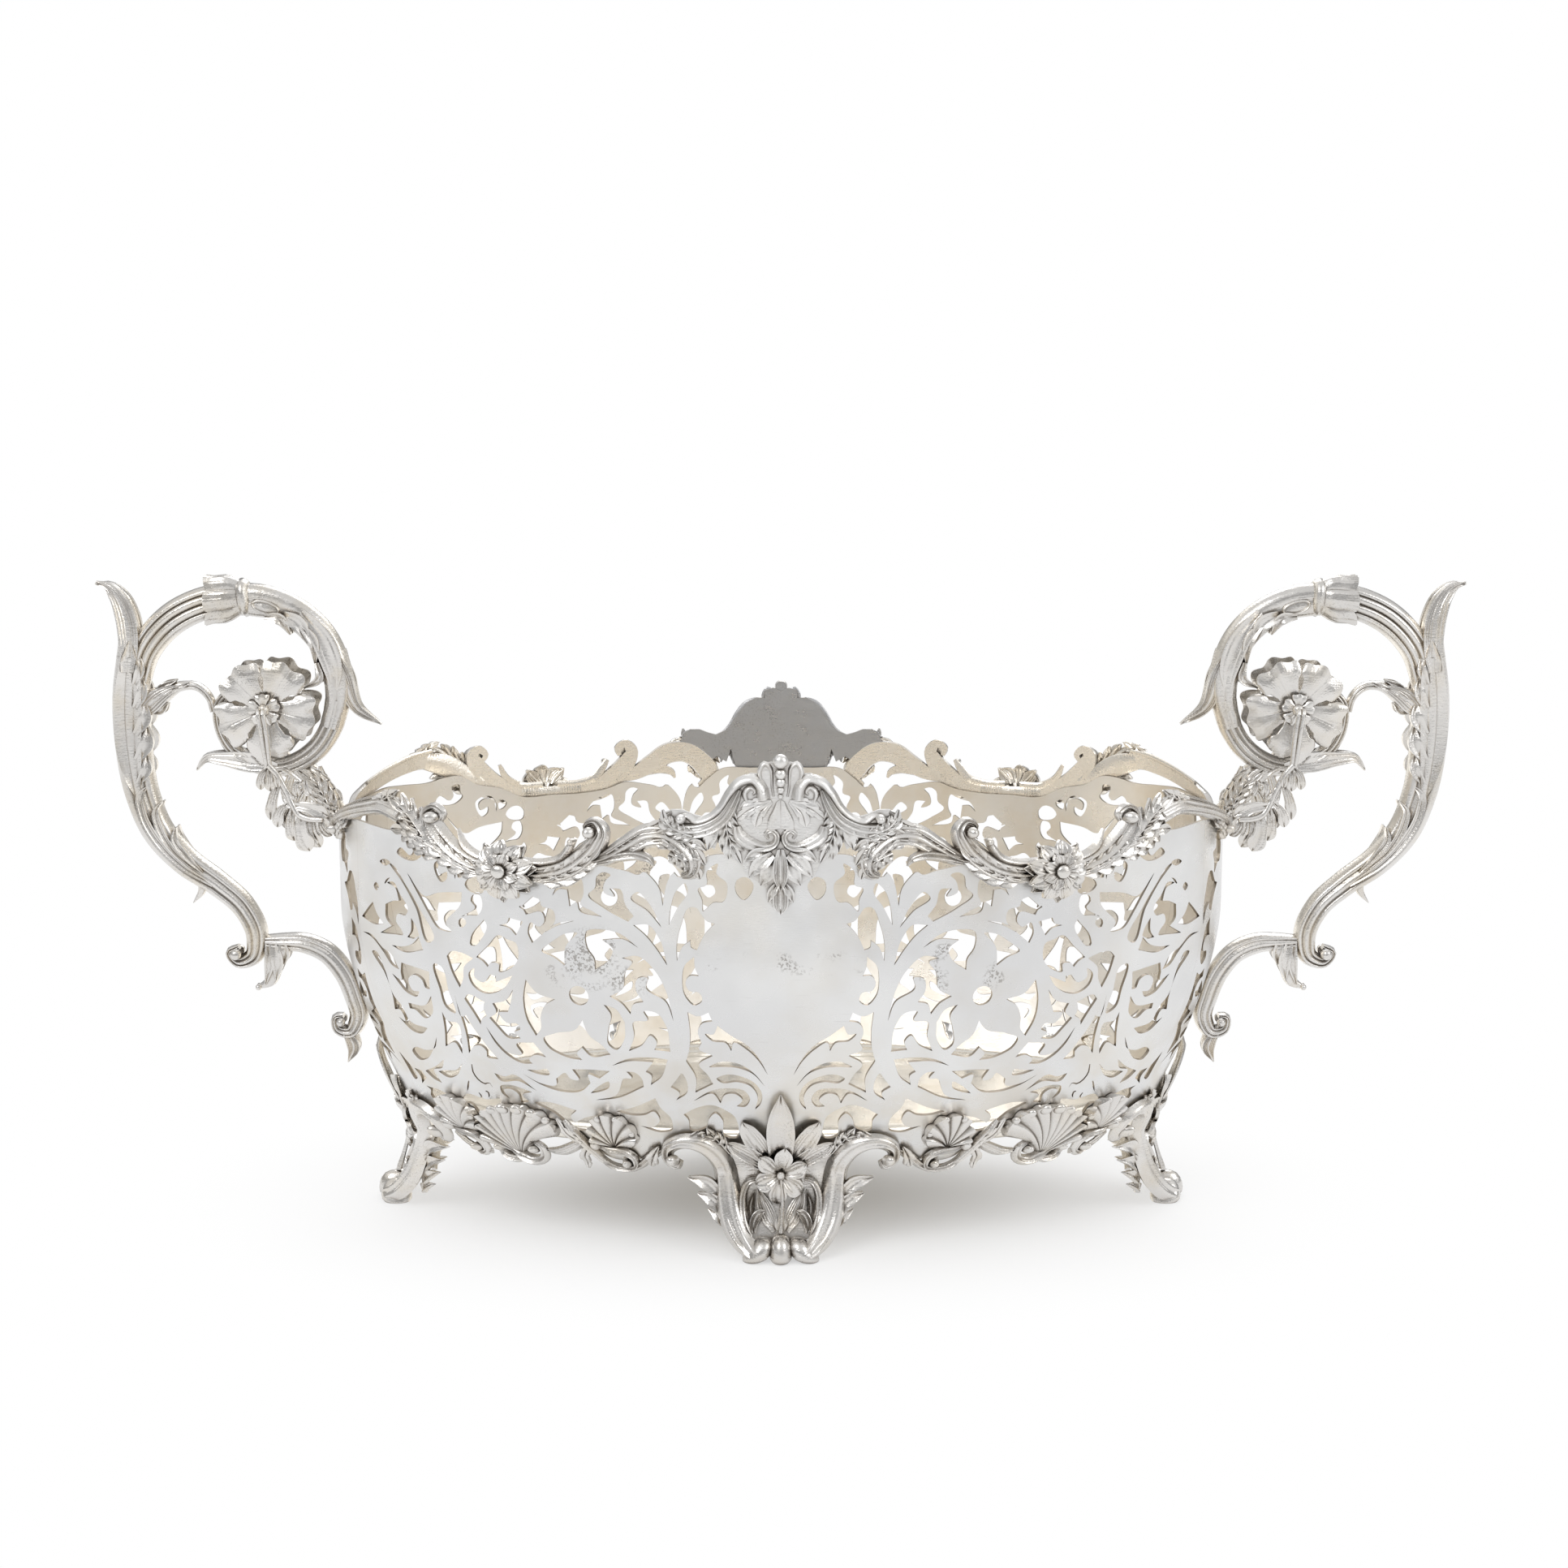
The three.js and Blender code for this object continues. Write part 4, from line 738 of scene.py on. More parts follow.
def cut_sheet(name, outlines, every, wrap, thick):
    """A sheet with holes: triangles laid flat between the closed outlines and a grid, then wrapped and thickened."""
    outlines = [divided(line, every / 2) for line in outlines]
    low, high = outlines[0].min(axis=0), outlines[0].max(axis=0)
    grid = np.meshgrid(*(np.arange(low[axis] + every / 2, high[axis], every) for axis in (0, 1)))
    grid = np.stack(grid, axis=-1).reshape(-1, 2)
    lines = np.concatenate(outlines)
    clear = [((lines - spot) ** 2).sum(axis=1).min() > (every / 4) ** 2 for spot in grid]
    sides, first = [], 0
    for line in outlines:
        steps = np.arange(len(line))
        sides += (first + np.stack([steps, np.roll(steps, -1)], axis=1)).tolist()
        first += len(line)
    spots = [mathutils.Vector(spot) for spot in np.concatenate([lines, grid[clear]])]
    corners, _, faces, *_ = mathutils.geometry.delaunay_2d_cdt(spots, sides, [], 0, 0.01)
    corners, faces = np.array([tuple(corner) for corner in corners]), np.array(faces)
    middles = corners[faces].mean(axis=1)
    kept = within(middles, outlines[0])
    for line in outlines[1:]:
        kept &= ~within(middles, line)
    mesh = bpy.data.meshes.new(name)
    mesh.from_pydata((wrap(corners[:, 0], corners[:, 1]) * MM).tolist(), [], faces[kept].tolist())
    for material in (sheet_silver, inner_tarnish_and_painted_light, edge_silver):
        mesh.materials.append(material)
    if sum(p.normal.dot(p.center) * p.area for p in mesh.polygons) < 0:
        mesh.flip_normals()
    made = bpy.data.objects.new(name, mesh)
    bpy.context.collection.objects.link(made)
    nothing_selected()
    made.select_set(True)
    bpy.context.view_layer.objects.active = made
    bpy.ops.object.mode_set(mode="EDIT")
    bpy.ops.mesh.select_all(action="SELECT")
    bpy.ops.mesh.delete_loose(use_faces=False)
    bpy.ops.object.mode_set(mode="OBJECT")
    solid = made.modifiers.new("Sheet", "SOLIDIFY")
    solid.thickness, solid.offset = thick * MM, -1
    # The inner face takes the second material, its tarnish with painted light; the cut edges take the third.
    solid.material_offset, solid.material_offset_rim = 1, 2
    bpy.ops.object.modifier_apply(modifier=solid.name)
    bpy.ops.object.shade_smooth_by_angle(angle=math.radians(35))
    return made


WALL_SHEET, PANEL_END = 1.25, 190


def wall_panel(name, start, end):
    """A panel of the wall between two u, with the openings that lie in it."""
    def whole(line):
        far = (line * (-1, 1) + (2 * QUARTER, 0))[::-1]
        full = np.concatenate([line[:0:-1] * (-1, 1), line, far[1:]])
        ends = [[at, np.interp(at, full[:, 0], full[:, 1])] for at in (start, end)]
        inner = full[(full[:, 0] > start + 0.4) & (full[:, 0] < end - 0.4)]
        return np.concatenate([ends[:1], inner, ends[1:]])

    outlines = [np.concatenate([whole(foot_line), whole(top_line)[::-1]])]
    for spots in openings:
        for copy in (spots, spots * (-1, 1), spots * (-1, 1) + (2 * QUARTER, 0)):
            if copy[:, 0].min() > start + 0.5 and copy[:, 0].max() < end - 0.5:
                outlines.append(copy)
    print(name, len(outlines) - 1, "openings")
    return cut_sheet(name, outlines, 5.0, lambda u, h: on_wall(u, h, 0), WALL_SHEET)


front_sheet = wall_panel("silver_wall_front", -PANEL_END, PANEL_END)
into_places(front_sheet, "wall", FRONT_BACK, "wall_silver")
end_sheet = wall_panel("silver_wall_right_end", PANEL_END, 2 * QUARTER - PANEL_END)
into_places(end_sheet, "wall", {"right_end": (1, 1), "left_end": (-1, 1)}, "wall_silver")

# %% [markdown]
# The cartouche over the middle of each side is one casting: a plate whose outline is the whole ornament, with
# scrolls, leaves and pearls raised on it. The plate is cut like the wall, from a flat outline, and the raised
# work is laid on its face. One half is drawn, and its mirror image completes it.

# %% The two cartouches
CARTOUCHE = """0,205 3,206.6 6.2,206.6 7.8,204.6 7.4,202* 10,202.6 14.2,200.9 18.9,196.2 22.4,190.4 27,186.3
31.7,185.1 34.6,187.2 38.4,188 42.4,187.6 45.6,184.6 45.2,179 41,175.8 36,174.6 33.4,171.7* 31,174 29.4,175.2*
27.6,172.3 25.4,172.4 22.9,178.6* 21.6,172 18,168.2 14.8,167.4* 13.9,169.5 13.8,165 11.9,161.6 8.4,159.8
5.6,158.4* 5.2,154 3.4,149.8 0,147.2"""
half_outline = edge_line(CARTOUCHE)
outline = np.concatenate([half_outline, half_outline[-2:0:-1] * (-1, 1)])
plate = cut_sheet("cartouche_plate", [outline], 4.0, lambda u, h: on_wall(u, h, 1.9), 1.3)
plate.data.materials.clear()
parts_made.append(plate)

CARTOUCHE_HALF = """
scroll 6.4,192.4,2.5 7.4,197,2.3 10.4,200,2.1 15,199,2.1 19,194.6,2 22.4,189,1.8 26.6,185,1.6 32,183.4,1.6
    35.6,185.4,1.4 38.2,184.6,1.1 37.4,182.4,0.8 ridges=1 rise=4.2 lift=1.4;
scroll 12.6,190.8,0.8 13.4,195,1.4 11,197,1.2 9.4,195.2,1 10.6,193.8,0.5 ridges=1 rise=2.6 lift=1.4;
scroll 15.6,196,1.4 18,190.6,2.4 22,184.4,3 28,180.6,3.4 35,179.4,3.4 41,181.4,2.8 43.4,185.4,1.6 41.4,187,0.8
    ridges=3 rise=3.4 lift=1.4;
pearl 37.4,184.6,1.9 rise=3.4 lift=2;
acanthus 33,178,2 38.6,180,3 43.4,184,2.4 44.4,188,0.4 count=4 lift=3.2;
lobed 24,184,26,178,27.6,172.4,2.3 28,182,30,177.6,30,174.4,1.8 31,181,34,177,33.6,171.8,2.2
    35.4,180,38.6,178,40.4,175.8,1.8 lift=2.4 crown=1.4;
acanthus 19,190,1.6 20.4,182,3.8 18.4,174.6,4 16.2,170,3 14.8,167.3,0.4 count=5 lift=2.2;
leaf 3.4,191.4,1.4 11.5,188.5,2.6 16.8,184.4,0.4 lobes=3 crown=1.2 lift=1.8;
leaf 3.4,191.4,1.4 10.8,190.6,2.2 15.4,188.6,0.4 lobes=2 crown=1.2 lift=1.8;
leaf 3.4,191.4,1.4 7.9,187,2.6 9.6,181.4,0.4 lobes=2 crown=1.2 lift=1.8;
scroll 16.6,181.8,1.6 15.6,178,2.6 11.4,174.8,2.7 6,173.4,2.2 2,175,1.5 1.3,178.2,1.3 3.6,180.2,1.1
    5.6,178.6,0.9 4.6,177,0.6 ridges=2 rise=3 lift=1.6;
lobed 4,172.4,9,171.4,13.8,168,2.3 3,171,8,167,12,161.8,2.9 1.8,169,5,163.6,7.6,158.6,2.7
    0.8,160,3.2,156.4,4.8,152,1.7 lift=2.6 crown=1.8 droop=1;
scroll 7.6,199.6,0.8 7.9,203.4,1 6,206.2,1 3.8,204.4,0.9 3.3,201,0.7 3.2,197,0.6 2.6,193.4,0.5 ridges=1
    rise=2.6 lift=1.6;
"""
for side in (1, -1):
    draw(sided(0, side), CARTOUCHE_HALF)
for h, radius in ((207.1, 2.9), (202.2, 2.2), (198.9, 1.9), (195.9, 1.4), (193.4, 1)):
    pearl(on_wall, [(0, h, radius)], rise=radius * 1.05, lift=1.6)
draw(on_wall, """
leaf 0,192,2 0,187,4.6 0,181,5 lobes=0 crown=1 lift=1.6;
blade 0,173,1.2,3 0,167,2.8,3.6 0,161,2.4,3.2 0,156.6,0.4,2.6 crown=1.6;
blade 0,159.6,1.4,2.4 0,154,3,2.6 0,150,2.4,2.4 0,147.3,0.4,2 crown=1.6;
""")
cast("cartouche", FRONT_BACK, chased_silver)

# %% [markdown]
# The rim's border is cast in runs. Each run is drawn as the silversmith would: first the heavy scrolls, then the
# thin strands that part from them, then the leaves that lie over the joints.

# %% The rim's scrolls and leaves
draw(on_wall, """
scroll 76,165.6,1.4 67,168.2,3.2 59,172.6,4.4 51,177.2,4.9 43.8,177.4,4.8 37.4,173.4,4.8 33.6,168,4.9
    34.2,163.4,3.2 37.8,161.6,1.2 ridges=3;
acanthus 66,170,2 58,175.4,4.4 50,180.4,3.6 43.8,184,0.5 lift=2.4 sides=1;
acanthus 48,176,2.4 39.6,176.4,4 32.4,172.6,3.8 28.4,166.6,0.6 count=4 lift=2.6;
acanthus 42,171,2 36,168,3.2 31.6,164.6,2.4 30.4,161,0.4 count=3 lift=2.6;
scroll 72,166.4,1.6 62,169,2.4 54,169.6,2.2 49.6,167.6,1.4 48.6,165.4,0.5 lift=1.2;
scroll 102,160.4,3.4 92,160.2,4.1 83,162.6,4.6 75.6,167.8,4.8 70.4,174,4.2 68.6,178.8,3.1 71.4,182,2.1
    75,180,1.6 74,176.8,1 ridges=3 rise=5;
pearl 72.4,178.2,2.4 rise=3.6 lift=2.4;
acanthus 92,158.4,2 83,161,3.6 74.6,167,3.4 67.6,175,0.5 count=4 lift=2.8;
scroll 103,164.8,1.7 92,164.8,1.8 85.6,166.8,1.9 82,171.2,1.7 79.6,175,0.8 ridges=1;
pearl 80.2,173.8,1.5 rise=2.4 lift=1.4;
scroll 92,161.2,3.4 106,160.6,3.4 120,161.4,3.6 rise=2.6;
scroll 112,160.8,3.6 121,161.4,4.2 130,165,4.8 137,170.6,5 141.4,176.4,4.4 142.8,181,3 139.6,183.2,2
    136.6,180.4,1.5 138.4,177.8,1 ridges=3 rise=5;
pearl 139.4,179.6,2.4 rise=3.6 lift=2.4;
acanthus 119,159.4,2 129,162.4,3.6 138,168.4,3.4 145,175.4,0.5 count=4 lift=2.8;
scroll 110,164.8,1.7 120,165.2,1.9 126.4,168.8,1.8 130,175.4,0.8 ridges=1;
scroll 136,165.4,3 146,170.8,5 156,177.4,5 166,180.4,3.8 rise=3;
acanthus 137,166,2.4 144,171,5 150.6,177.6,5.4 157,183,4 163.4,186,0.5 count=5 lift=2.4 crown=1.8;
acanthus 139,163.6,2 148,168.4,4 156,172.6,3.4 163,172.2,0.5 count=4 lift=2;
scroll 157,178.2,4.4 167,180.6,3.8 178,178.8,3.2 190,175.6,3 200,172,2.8 208,168.6,2.4 211.4,164.8,1.9
    207.6,162,1.6 205.4,165,1 ridges=3 groove=0.24;
scroll 163,184.8,0.8 172,183.6,1.2 184,180.4,1.2 200,175.4,0.9 ridges=1 rise=3;
acanthus 172,181,1.2 165,184,2.6 158,188.2,0.4 count=3 lift=2.4;
acanthus 196,170.4,1.4 203,168.4,2.6 207,164.4,2 207.4,161,0.4 count=3 lift=2;
pearl 208,165.2,1.8 rise=3 lift=2;
""")
cast("rim_scroll", QUARTERS)

# %% [markdown]
# A flower covers the joint in the middle of each run. Leaves lie under it, two rings of petals are turned against
# each other so that none hides another, and a bead sits in the middle.

# %% The rim's flowers
for da, db in ((13.4, 1.6), (-13.2, 1.4), (10.4, -8), (-10, -8), (0.6, -13), (8.6, 10), (-8.4, 10)):
    spots = [(106.5 + da * out, 161.5 + db * out, half) for out, half in ((0.3, 1.6), (0.7, 2.8), (1, 0.4))]
    blade(on_wall, spots, lift=5)
outer = [(2, 1.4, 6.4), (6, 2.5, 7.2), (9.6, 3.1, 6.8), (11, 2, 6), (12, 0.4, 5.4)]
inner = [(1.6, 1, 7.6), (4, 1.9, 8.6), (6.2, 2, 8.6), (7.6, 0.4, 8)]
rosette(on_wall, 106.5, 161.5, 9, 0.1, outer)
rosette(on_wall, 106.5, 161.5, 8, 0.4, inner, crown=1, sheet=1)
pearl(on_wall, [(106.5, 161.5, 2.7)], rise=1.6, lift=8.4)
cast("rim_flower", QUARTERS)

# %% [markdown]
# Round the foot runs a lighter border of mouldings, leaves and shells. A shell is a fan of ribs that rise from
# its foot and end in a frilled edge. Little scrolls hold it below, and pearls sit on its rim.

# %% The base border
draw(on_wall, """
scroll 56,42,1.4 62,39,1.9 69,34.2,1.8 76,32.2,1.7 84,33.6,1.9 90.6,39.6,2.3 96,46.8,2.4 100.4,54,0.9
    rise=3.4;
leaf 57.4,44,1 60.6,39.4,3.2 63.6,34,0.4 lobes=3 lift=1.4;
leaf 91,43,1.6 95.4,37,2.6 95.4,31.4,0.4 lobes=3 lift=1.4;
leaf 93,44,1.2 99,47,2.2 103.6,54.6,0.4 lobes=3 lift=1.8;
scroll 93.4,45,1.8 101,41,2.4 109,38.2,2.2 115,38,1.2 rise=3.2;
""")
cast("base_moulding", QUARTERS)
draw(on_wall, """
scroll 171,39.4,1 165,35.6,1.5 158,33,1.5 150.6,33.4,1.2 rise=3.2;
leaf 168,39,1 163.4,36.6,1.8 160,33,0.4 lobes=2 lift=1.4;
""")
cast("base_end_moulding", QUARTERS)

# %% The shells
SHELL_EDGE = [(-84, 10), (-66, 14.4), (-45, 16.4), (-24, 17.2), (3.5, 16.8), (32, 14.6), (62, 11), (82, 9)]
SHELL_SCROLL = """
scroll 9.6,43,1.2 3.4,41.4,2.2 -3,40.6,2.3 -7.2,37.6,2 -7,33.4,1.7 -3,32.6,1.4 -1.4,35.8,1.1 -3.6,37,0.8
    rise=4 lift=0.6;
pearl -4,35.4,1.9 rise=3.4 lift=1.6;
pearl 9.4,43.4,2.2 rise=3 lift=1.2;
"""
FAN_EDGE = [(-64, 30), (-58, 32.6), (-50, 33), (-33, 30), (-12, 26), (12, 23.4), (36, 22.2), (60, 19.4), (74, 16)]


def along_edge(u, h, edge, angle, inside):
    """A place on the rim of a shell, at an angle from upright and this far inside its edge."""
    reach = np.interp(angle, *np.array(edge).T) - inside
    return u + reach * math.sin(math.radians(angle)), h + reach * math.cos(math.radians(angle))


def small_shell(u, stem):
    here = sided(u)
    scallop(here, 1, 42.2, SHELL_EDGE, ribs=7, rise=5, frill=0.7)
    draw(here, SHELL_SCROLL)
    for angle in (-54, -20, 12, 46):
        pearl(here, [(*along_edge(1, 42.2, SHELL_EDGE, angle, 1.4), 1.5)], lift=3)
    cast(stem, QUARTERS)


small_shell(78, "shell_by_front")
small_shell(160, "shell_by_end")
scallop(on_wall, 131.6, 33.6, FAN_EDGE, ribs=9, rise=5.4, frill=0.8)
draw(on_wall, """
scroll 136,37,1.6 130.6,34,2.7 124,32.6,2.5 118.6,34.6,2.2 117.6,39,1.9 121,41.2,1.5 123.6,38.6,1.1
    121.4,37,0.8 rise=4.2;
pearl 121,38.4,1.9 rise=3.2 lift=1.6;
scroll 130,33.4,1.6 136.4,32.4,2.3 142,34.2,2 143.6,38.2,1.7 140.4,40.2,1.2 138.6,37.6,0.8 rise=4;
pearl 140.8,37.4,1.8 rise=3.2 lift=1.6;
""")
for angle, radius in ((-50, 1.7), (-38, 2.1), (-25, 2.4), (-10, 2.4), (6, 2.1), (22, 1.8)):
    pearl(on_wall, [(*along_edge(131.6, 33.6, FAN_EDGE, angle, 1.6), radius)], rise=radius * 1.1, lift=3)
cast("fan_shell", QUARTERS)

# %% [markdown]
# A foot is a pair of scrolled arms that run down into one toe of three lobes. The arms start on the wall and step
# out as they come down, so each knot of their path also says how far it stands off the wall.

# %% Feet
TOE = "0.01,0 0.82,0 0.96,0.1 1,0.28 0.95,0.5 0.84,0.7 0.62,0.88 0.34,0.97 0.01,1"
FOOT_ARM = """
scroll 8.4,2.4,2.3,16 12.4,3.6,3.5,14 16.8,6.6,4.9,10.6 20.6,11.2,6,7.6 23.3,16.6,6.3,5 25,23,6.1,3
    26.4,31,5.7,1.2 28.6,38.4,5.5,0.6 33.4,44.2,5.1,0.4 40,47,4.3,0.4 47.4,46.8,3.5,0.5 53,43.2,3.1,1
    53.4,38,2.7,1.4 50,35.4,2.1,1.8 47.8,38.4,1.5,1.8 ridges=2 rise=5.4 groove=0.3;
scroll 6.4,3,1,15 12.6,3.4,1.2,14.4 18.6,7,1.3,12.4 23.4,13,1.3,9 26.4,20,1.2,5.6 28.6,29,1.1,3 31.4,36,1,2
    36,41.6,0.8,1.6 ridges=1 rise=2;
pearl 50.4,38.8,2.8 rise=4 lift=3.2;
lobed 21,6,24.6,8.6,28.6,10.4,1.9 23.4,9.4,30,14.8,35.4,17,2.5 25,15,32.8,21.6,40.6,23.4,2.9
    26,20,35,28.4,45.4,30,3 lift=3 crown=1.8 sheet=2 droop=1.4;
acanthus 24,42,1.2,1 28,47,3,1 33.4,54,0.4,1 count=3;
acanthus 44,46,1.6,1.6 37,49.4,2.6,1.6 30,49,0.4,1.6 count=3;
"""
WEB_HALF = "9,5 15,9 18,13.6 20,19 21.4,28 22.4,36 24,44 12,46.4"


def toe_lobe(place, du, out, wide, deep, high, lean):
    """A rounded lobe standing on the table, whose foot leans sideways."""
    turn = np.linspace(0, 2 * math.pi, 24, endpoint=False)[None, :]
    r, z = np.array(knots_of(TOE.split())).T[:, :, None]
    along = du + lean * (1 - z) ** 2 + r * wide * np.cos(turn)
    skin(place(along, z * high + 0 * turn, out + r * deep * np.sin(turn)))


def make_foot(middle, name):
    here = sided(middle)
    for side in (1, -1):
        draw(sided(middle, side), FOOT_ARM)
    toe_lobe(here, 0, 13.6, 5.2, 7.4, 10.6, 0)
    for side in (1, -1):
        toe_lobe(here, side * 7.8, 13, 6, 6.6, 9, side * 4.6)
    half = np.array(knots_of(WEB_HALF.split()))
    web = cut_sheet("foot_web", [np.concatenate([half, half[::-1] * (-1, 1)])], 3.0,
                    lambda a, b: here(a, b, np.interp(b, [8, 14, 22, 30, 40], [9.4, 6.6, 3.4, 1.8, 1.2])), 1.2)
    parts_made.append(web)
    return joined(name)


front_foot, end_foot = make_foot(0, "silver_foot_front"), make_foot(QUARTER, "silver_foot_right")
into_places(front_foot, "foot", FRONT_BACK, "cast_silver", cast_silver)
into_places(end_foot, "foot", RIGHT_LEFT, "cast_silver", cast_silver)

# %% [markdown]
# Between the arms stands a lily: plain pointed leaves with fine veins behind a six-petalled flower, and a stem
# that rises from the toe between curled lower leaves.

# %% The spray on each foot
SPRAY_SIDE = """
blade 3,37,2.6,4.4 8.8,45,4.4,3.6 13,50.8,4.5,2.6 16.2,55.6,2.2,1.4 17,57,0.4,1.2 crown=1.6;
blade 4,34.6,2.4,4.4 11,39.6,4,3.4 18,43.4,3.9,2.4 23.6,46,1.9,1.2 25.4,46.8,0.3,1 crown=1.6;
blade 2.4,10.8,1.6,9 5.4,16,3.5,7.4 8.4,21.4,3,5.4 11,26.8,0.4,4 crown=1.2;
scroll 13.4,9,1,11 16.2,13,1.9,9 18,19,2.1,6 17.8,25,1.9,4.2 15,29.6,1.6,3.6 11.4,30.4,1.1,3.6 ridges=2
    rise=2.6;
blade 12.4,10,1,10 12.4,14,2,9 9.6,17.8,1.7,8 7.4,18.4,0.3,7.6 crown=1.4;
blade 13.6,14,1,8 14.2,20,1.8,6 12.4,26,0.3,4.6 crown=1;
"""
SPRAY_MIDDLE = """
blade 0,34,3.4,3.8 0,46,5.8,4.2 0,55,6.2,3.8 0,64,4,2.6 0,70.6,0.3,1.4 crown=2.2 veins=9;
scroll 0,32,1.2,6 0.8,26,1.1,7 0.4,18,1.2,9 0,11,1.7,11 ridges=1 rise=2.4;
"""
LILY = [(1.6, 1.4, 6.6), (5.6, 3.3, 7.4), (9, 4.1, 7), (11.6, 2.4, 6), (12.8, 0.3, 5.4)]


def make_spray(middle, name):
    here = sided(middle)
    for side in (1, -1):
        draw(sided(middle, side), SPRAY_SIDE)
    draw(here, SPRAY_MIDDLE)
    rosette(here, 0, 33.4, 6, 0.16, LILY)
    pearl(here, [(0, 33.4, 1.9)], rise=1.8, lift=6.8)
    return joined(name)


front_spray, end_spray = make_spray(0, "silver_foot_spray_front"), make_spray(QUARTER, "silver_foot_spray_right")
into_places(front_spray, "foot_spray", FRONT_BACK, "cast_silver", cast_silver)
into_places(end_spray, "foot_spray", RIGHT_LEFT, "cast_silver", cast_silver)

# %% [markdown]
# The floor of the basket is a polished oval tray with rings stamped into it. Its section is swept round the oval.

# %% The floor plate
ring_turn = np.linspace(0, 2 * math.pi, 180, endpoint=False)
SECTION = """0.8,43.7 0.1,44.4 0.1,46.8 0.6,47.5 1.6,47.6 2.4,47 3.4,46.2 5,46.2 6,46.9 7.2,47 8.2,46.2 9.4,45.4
13,45.1 15,45.2 16,45.8 17.4,45.8 18.4,45.2 26,45 50,45 71,45"""
rows = []
for inward, z in knots_of(SECTION.split()):
    oval = [(156.7 - inward) * np.sin(ring_turn), (71.7 - inward) * np.cos(ring_turn), z + 0 * ring_turn]
    rows.append(np.stack(oval, -1))
skin(np.array(rows))
tray = joined("silver_floor_plate")
finish_piece(tray, "floor_plate", "plate_silver", plate_silver)
print("tray", len(tray.data.polygons), "faces")

# %% [markdown]
# A handle is drawn in the plane of the bowl's length. Its tapering stem and its ring are fluted bars, thicker in
# the middle and pinched at the ends. The section is a rounded oblong whose front and back carry rounded ridges
# with sharp valleys between them.

# %% Bars of the handles
def at_front(a, b, w):
    """A place in the plane of the handles, this far to the front."""
    return np.stack(np.broadcast_arrays(np.asarray(a, float), -np.asarray(w, float), np.asarray(b, float)), -1)


def at_back(a, b, w):
    return at_front(a, b, -np.asarray(w, float))


def bar(place, knots, depth=4.6, ridges=3, groove=0.2, step=1.2):
    """A fluted bar in the plane of the handles along [x, z, half width, share of the depth]."""
    line, across = spine(knots, 1.0, step)
    wide = np.linspace(-1, 1, 8 * ridges + 5)
    flutes = 1 - groove + groove * np.abs(np.sin(np.pi * ridges * (wide + 1) / 2)) ** 0.6
    face = (1 - np.abs(wide) ** 3.4) ** 0.55 * flutes
    wide = np.concatenate([wide, wide[-2:0:-1]])
    face = np.concatenate([face, -face[-2:0:-1]])
    half = np.maximum(line[:, 2:3], 0.15)
    skin(place(*beside(line, across, half * wide), np.maximum(depth * line[:, 3:4], 0.2) * face))


SHAPES["bar"] = bar
print("bars ready")

# %% The stem, the ring and their leaves
RING = knots_of("""
269.4,222,5.4,0.9 264.6,237.4,6.4 254,249.4,6.8 241,256,6.9 228,258.3,6.9 214.6,257.2,6.9 201.6,251.8,6.8
191.8,242.4,6.8 186,229,6.4 185.4,216,5.4 188.6,204.4,4.8 196,194,4.6 207,188,4.2 219.3,188,3.8
228.8,193.8,3.2 234.8,204.6,2.7 234.6,214.6,2.4 228,220,2.2 220,217.6,2
""".split())
bar(at_back, RING[:6], 5.0, ridges=4, groove=0.3)
bar(at_back, RING[4:11], 5.0, ridges=2, groove=0.12)
bar(at_back, RING[9:], 4.9, ridges=3, groove=0.26)
draw(at_back, """
bar 230.6,109.8,1.2,0.5 234.4,107.6,2,0.7 231,103.4,2.8,0.85 225,105.4,3.8,0.95 222.8,114.6,4.8,1
    227.8,127,5.2,1 238.4,137,5.6,1 252,147,6.4,1 263,160,7,1 269,176,7.4,1 271.8,198,8,1 271.8,218,8,1
    270.6,234,6.8,1 depth=5.2 groove=0.34;
bar 272,230,6,1 271.6,244,4.6,0.9 273.6,255,3.2,0.7 278,263,1.9,0.5 284.4,265.4,0.4,0.2 ridges=1;
bar 246,142.4,3,0.6 245.4,134.6,1.8,0.4 249.4,128.8,0.2,0.1 ridges=1;
bar 186,236,5,0.9 181.4,222,4,0.8 176.6,211.6,2.6,0.5 167.4,205.6,0.5,0.2 ridges=1;
bar 212,188,3.6,0.8 224,189.4,3.8,0.8 234,191.4,2.6,0.7 241,191.4,1.8,0.5 245.6,186,0.4,0.2 ridges=1;
bar 267,214,6,0.7 259.4,217.6,4,0.6 251,221.6,2.2,0.6 244,221.4,1.9,0.6 239,216.6,1.7,0.6 237.6,211,1.6,0.5
    ridges=2;
""")
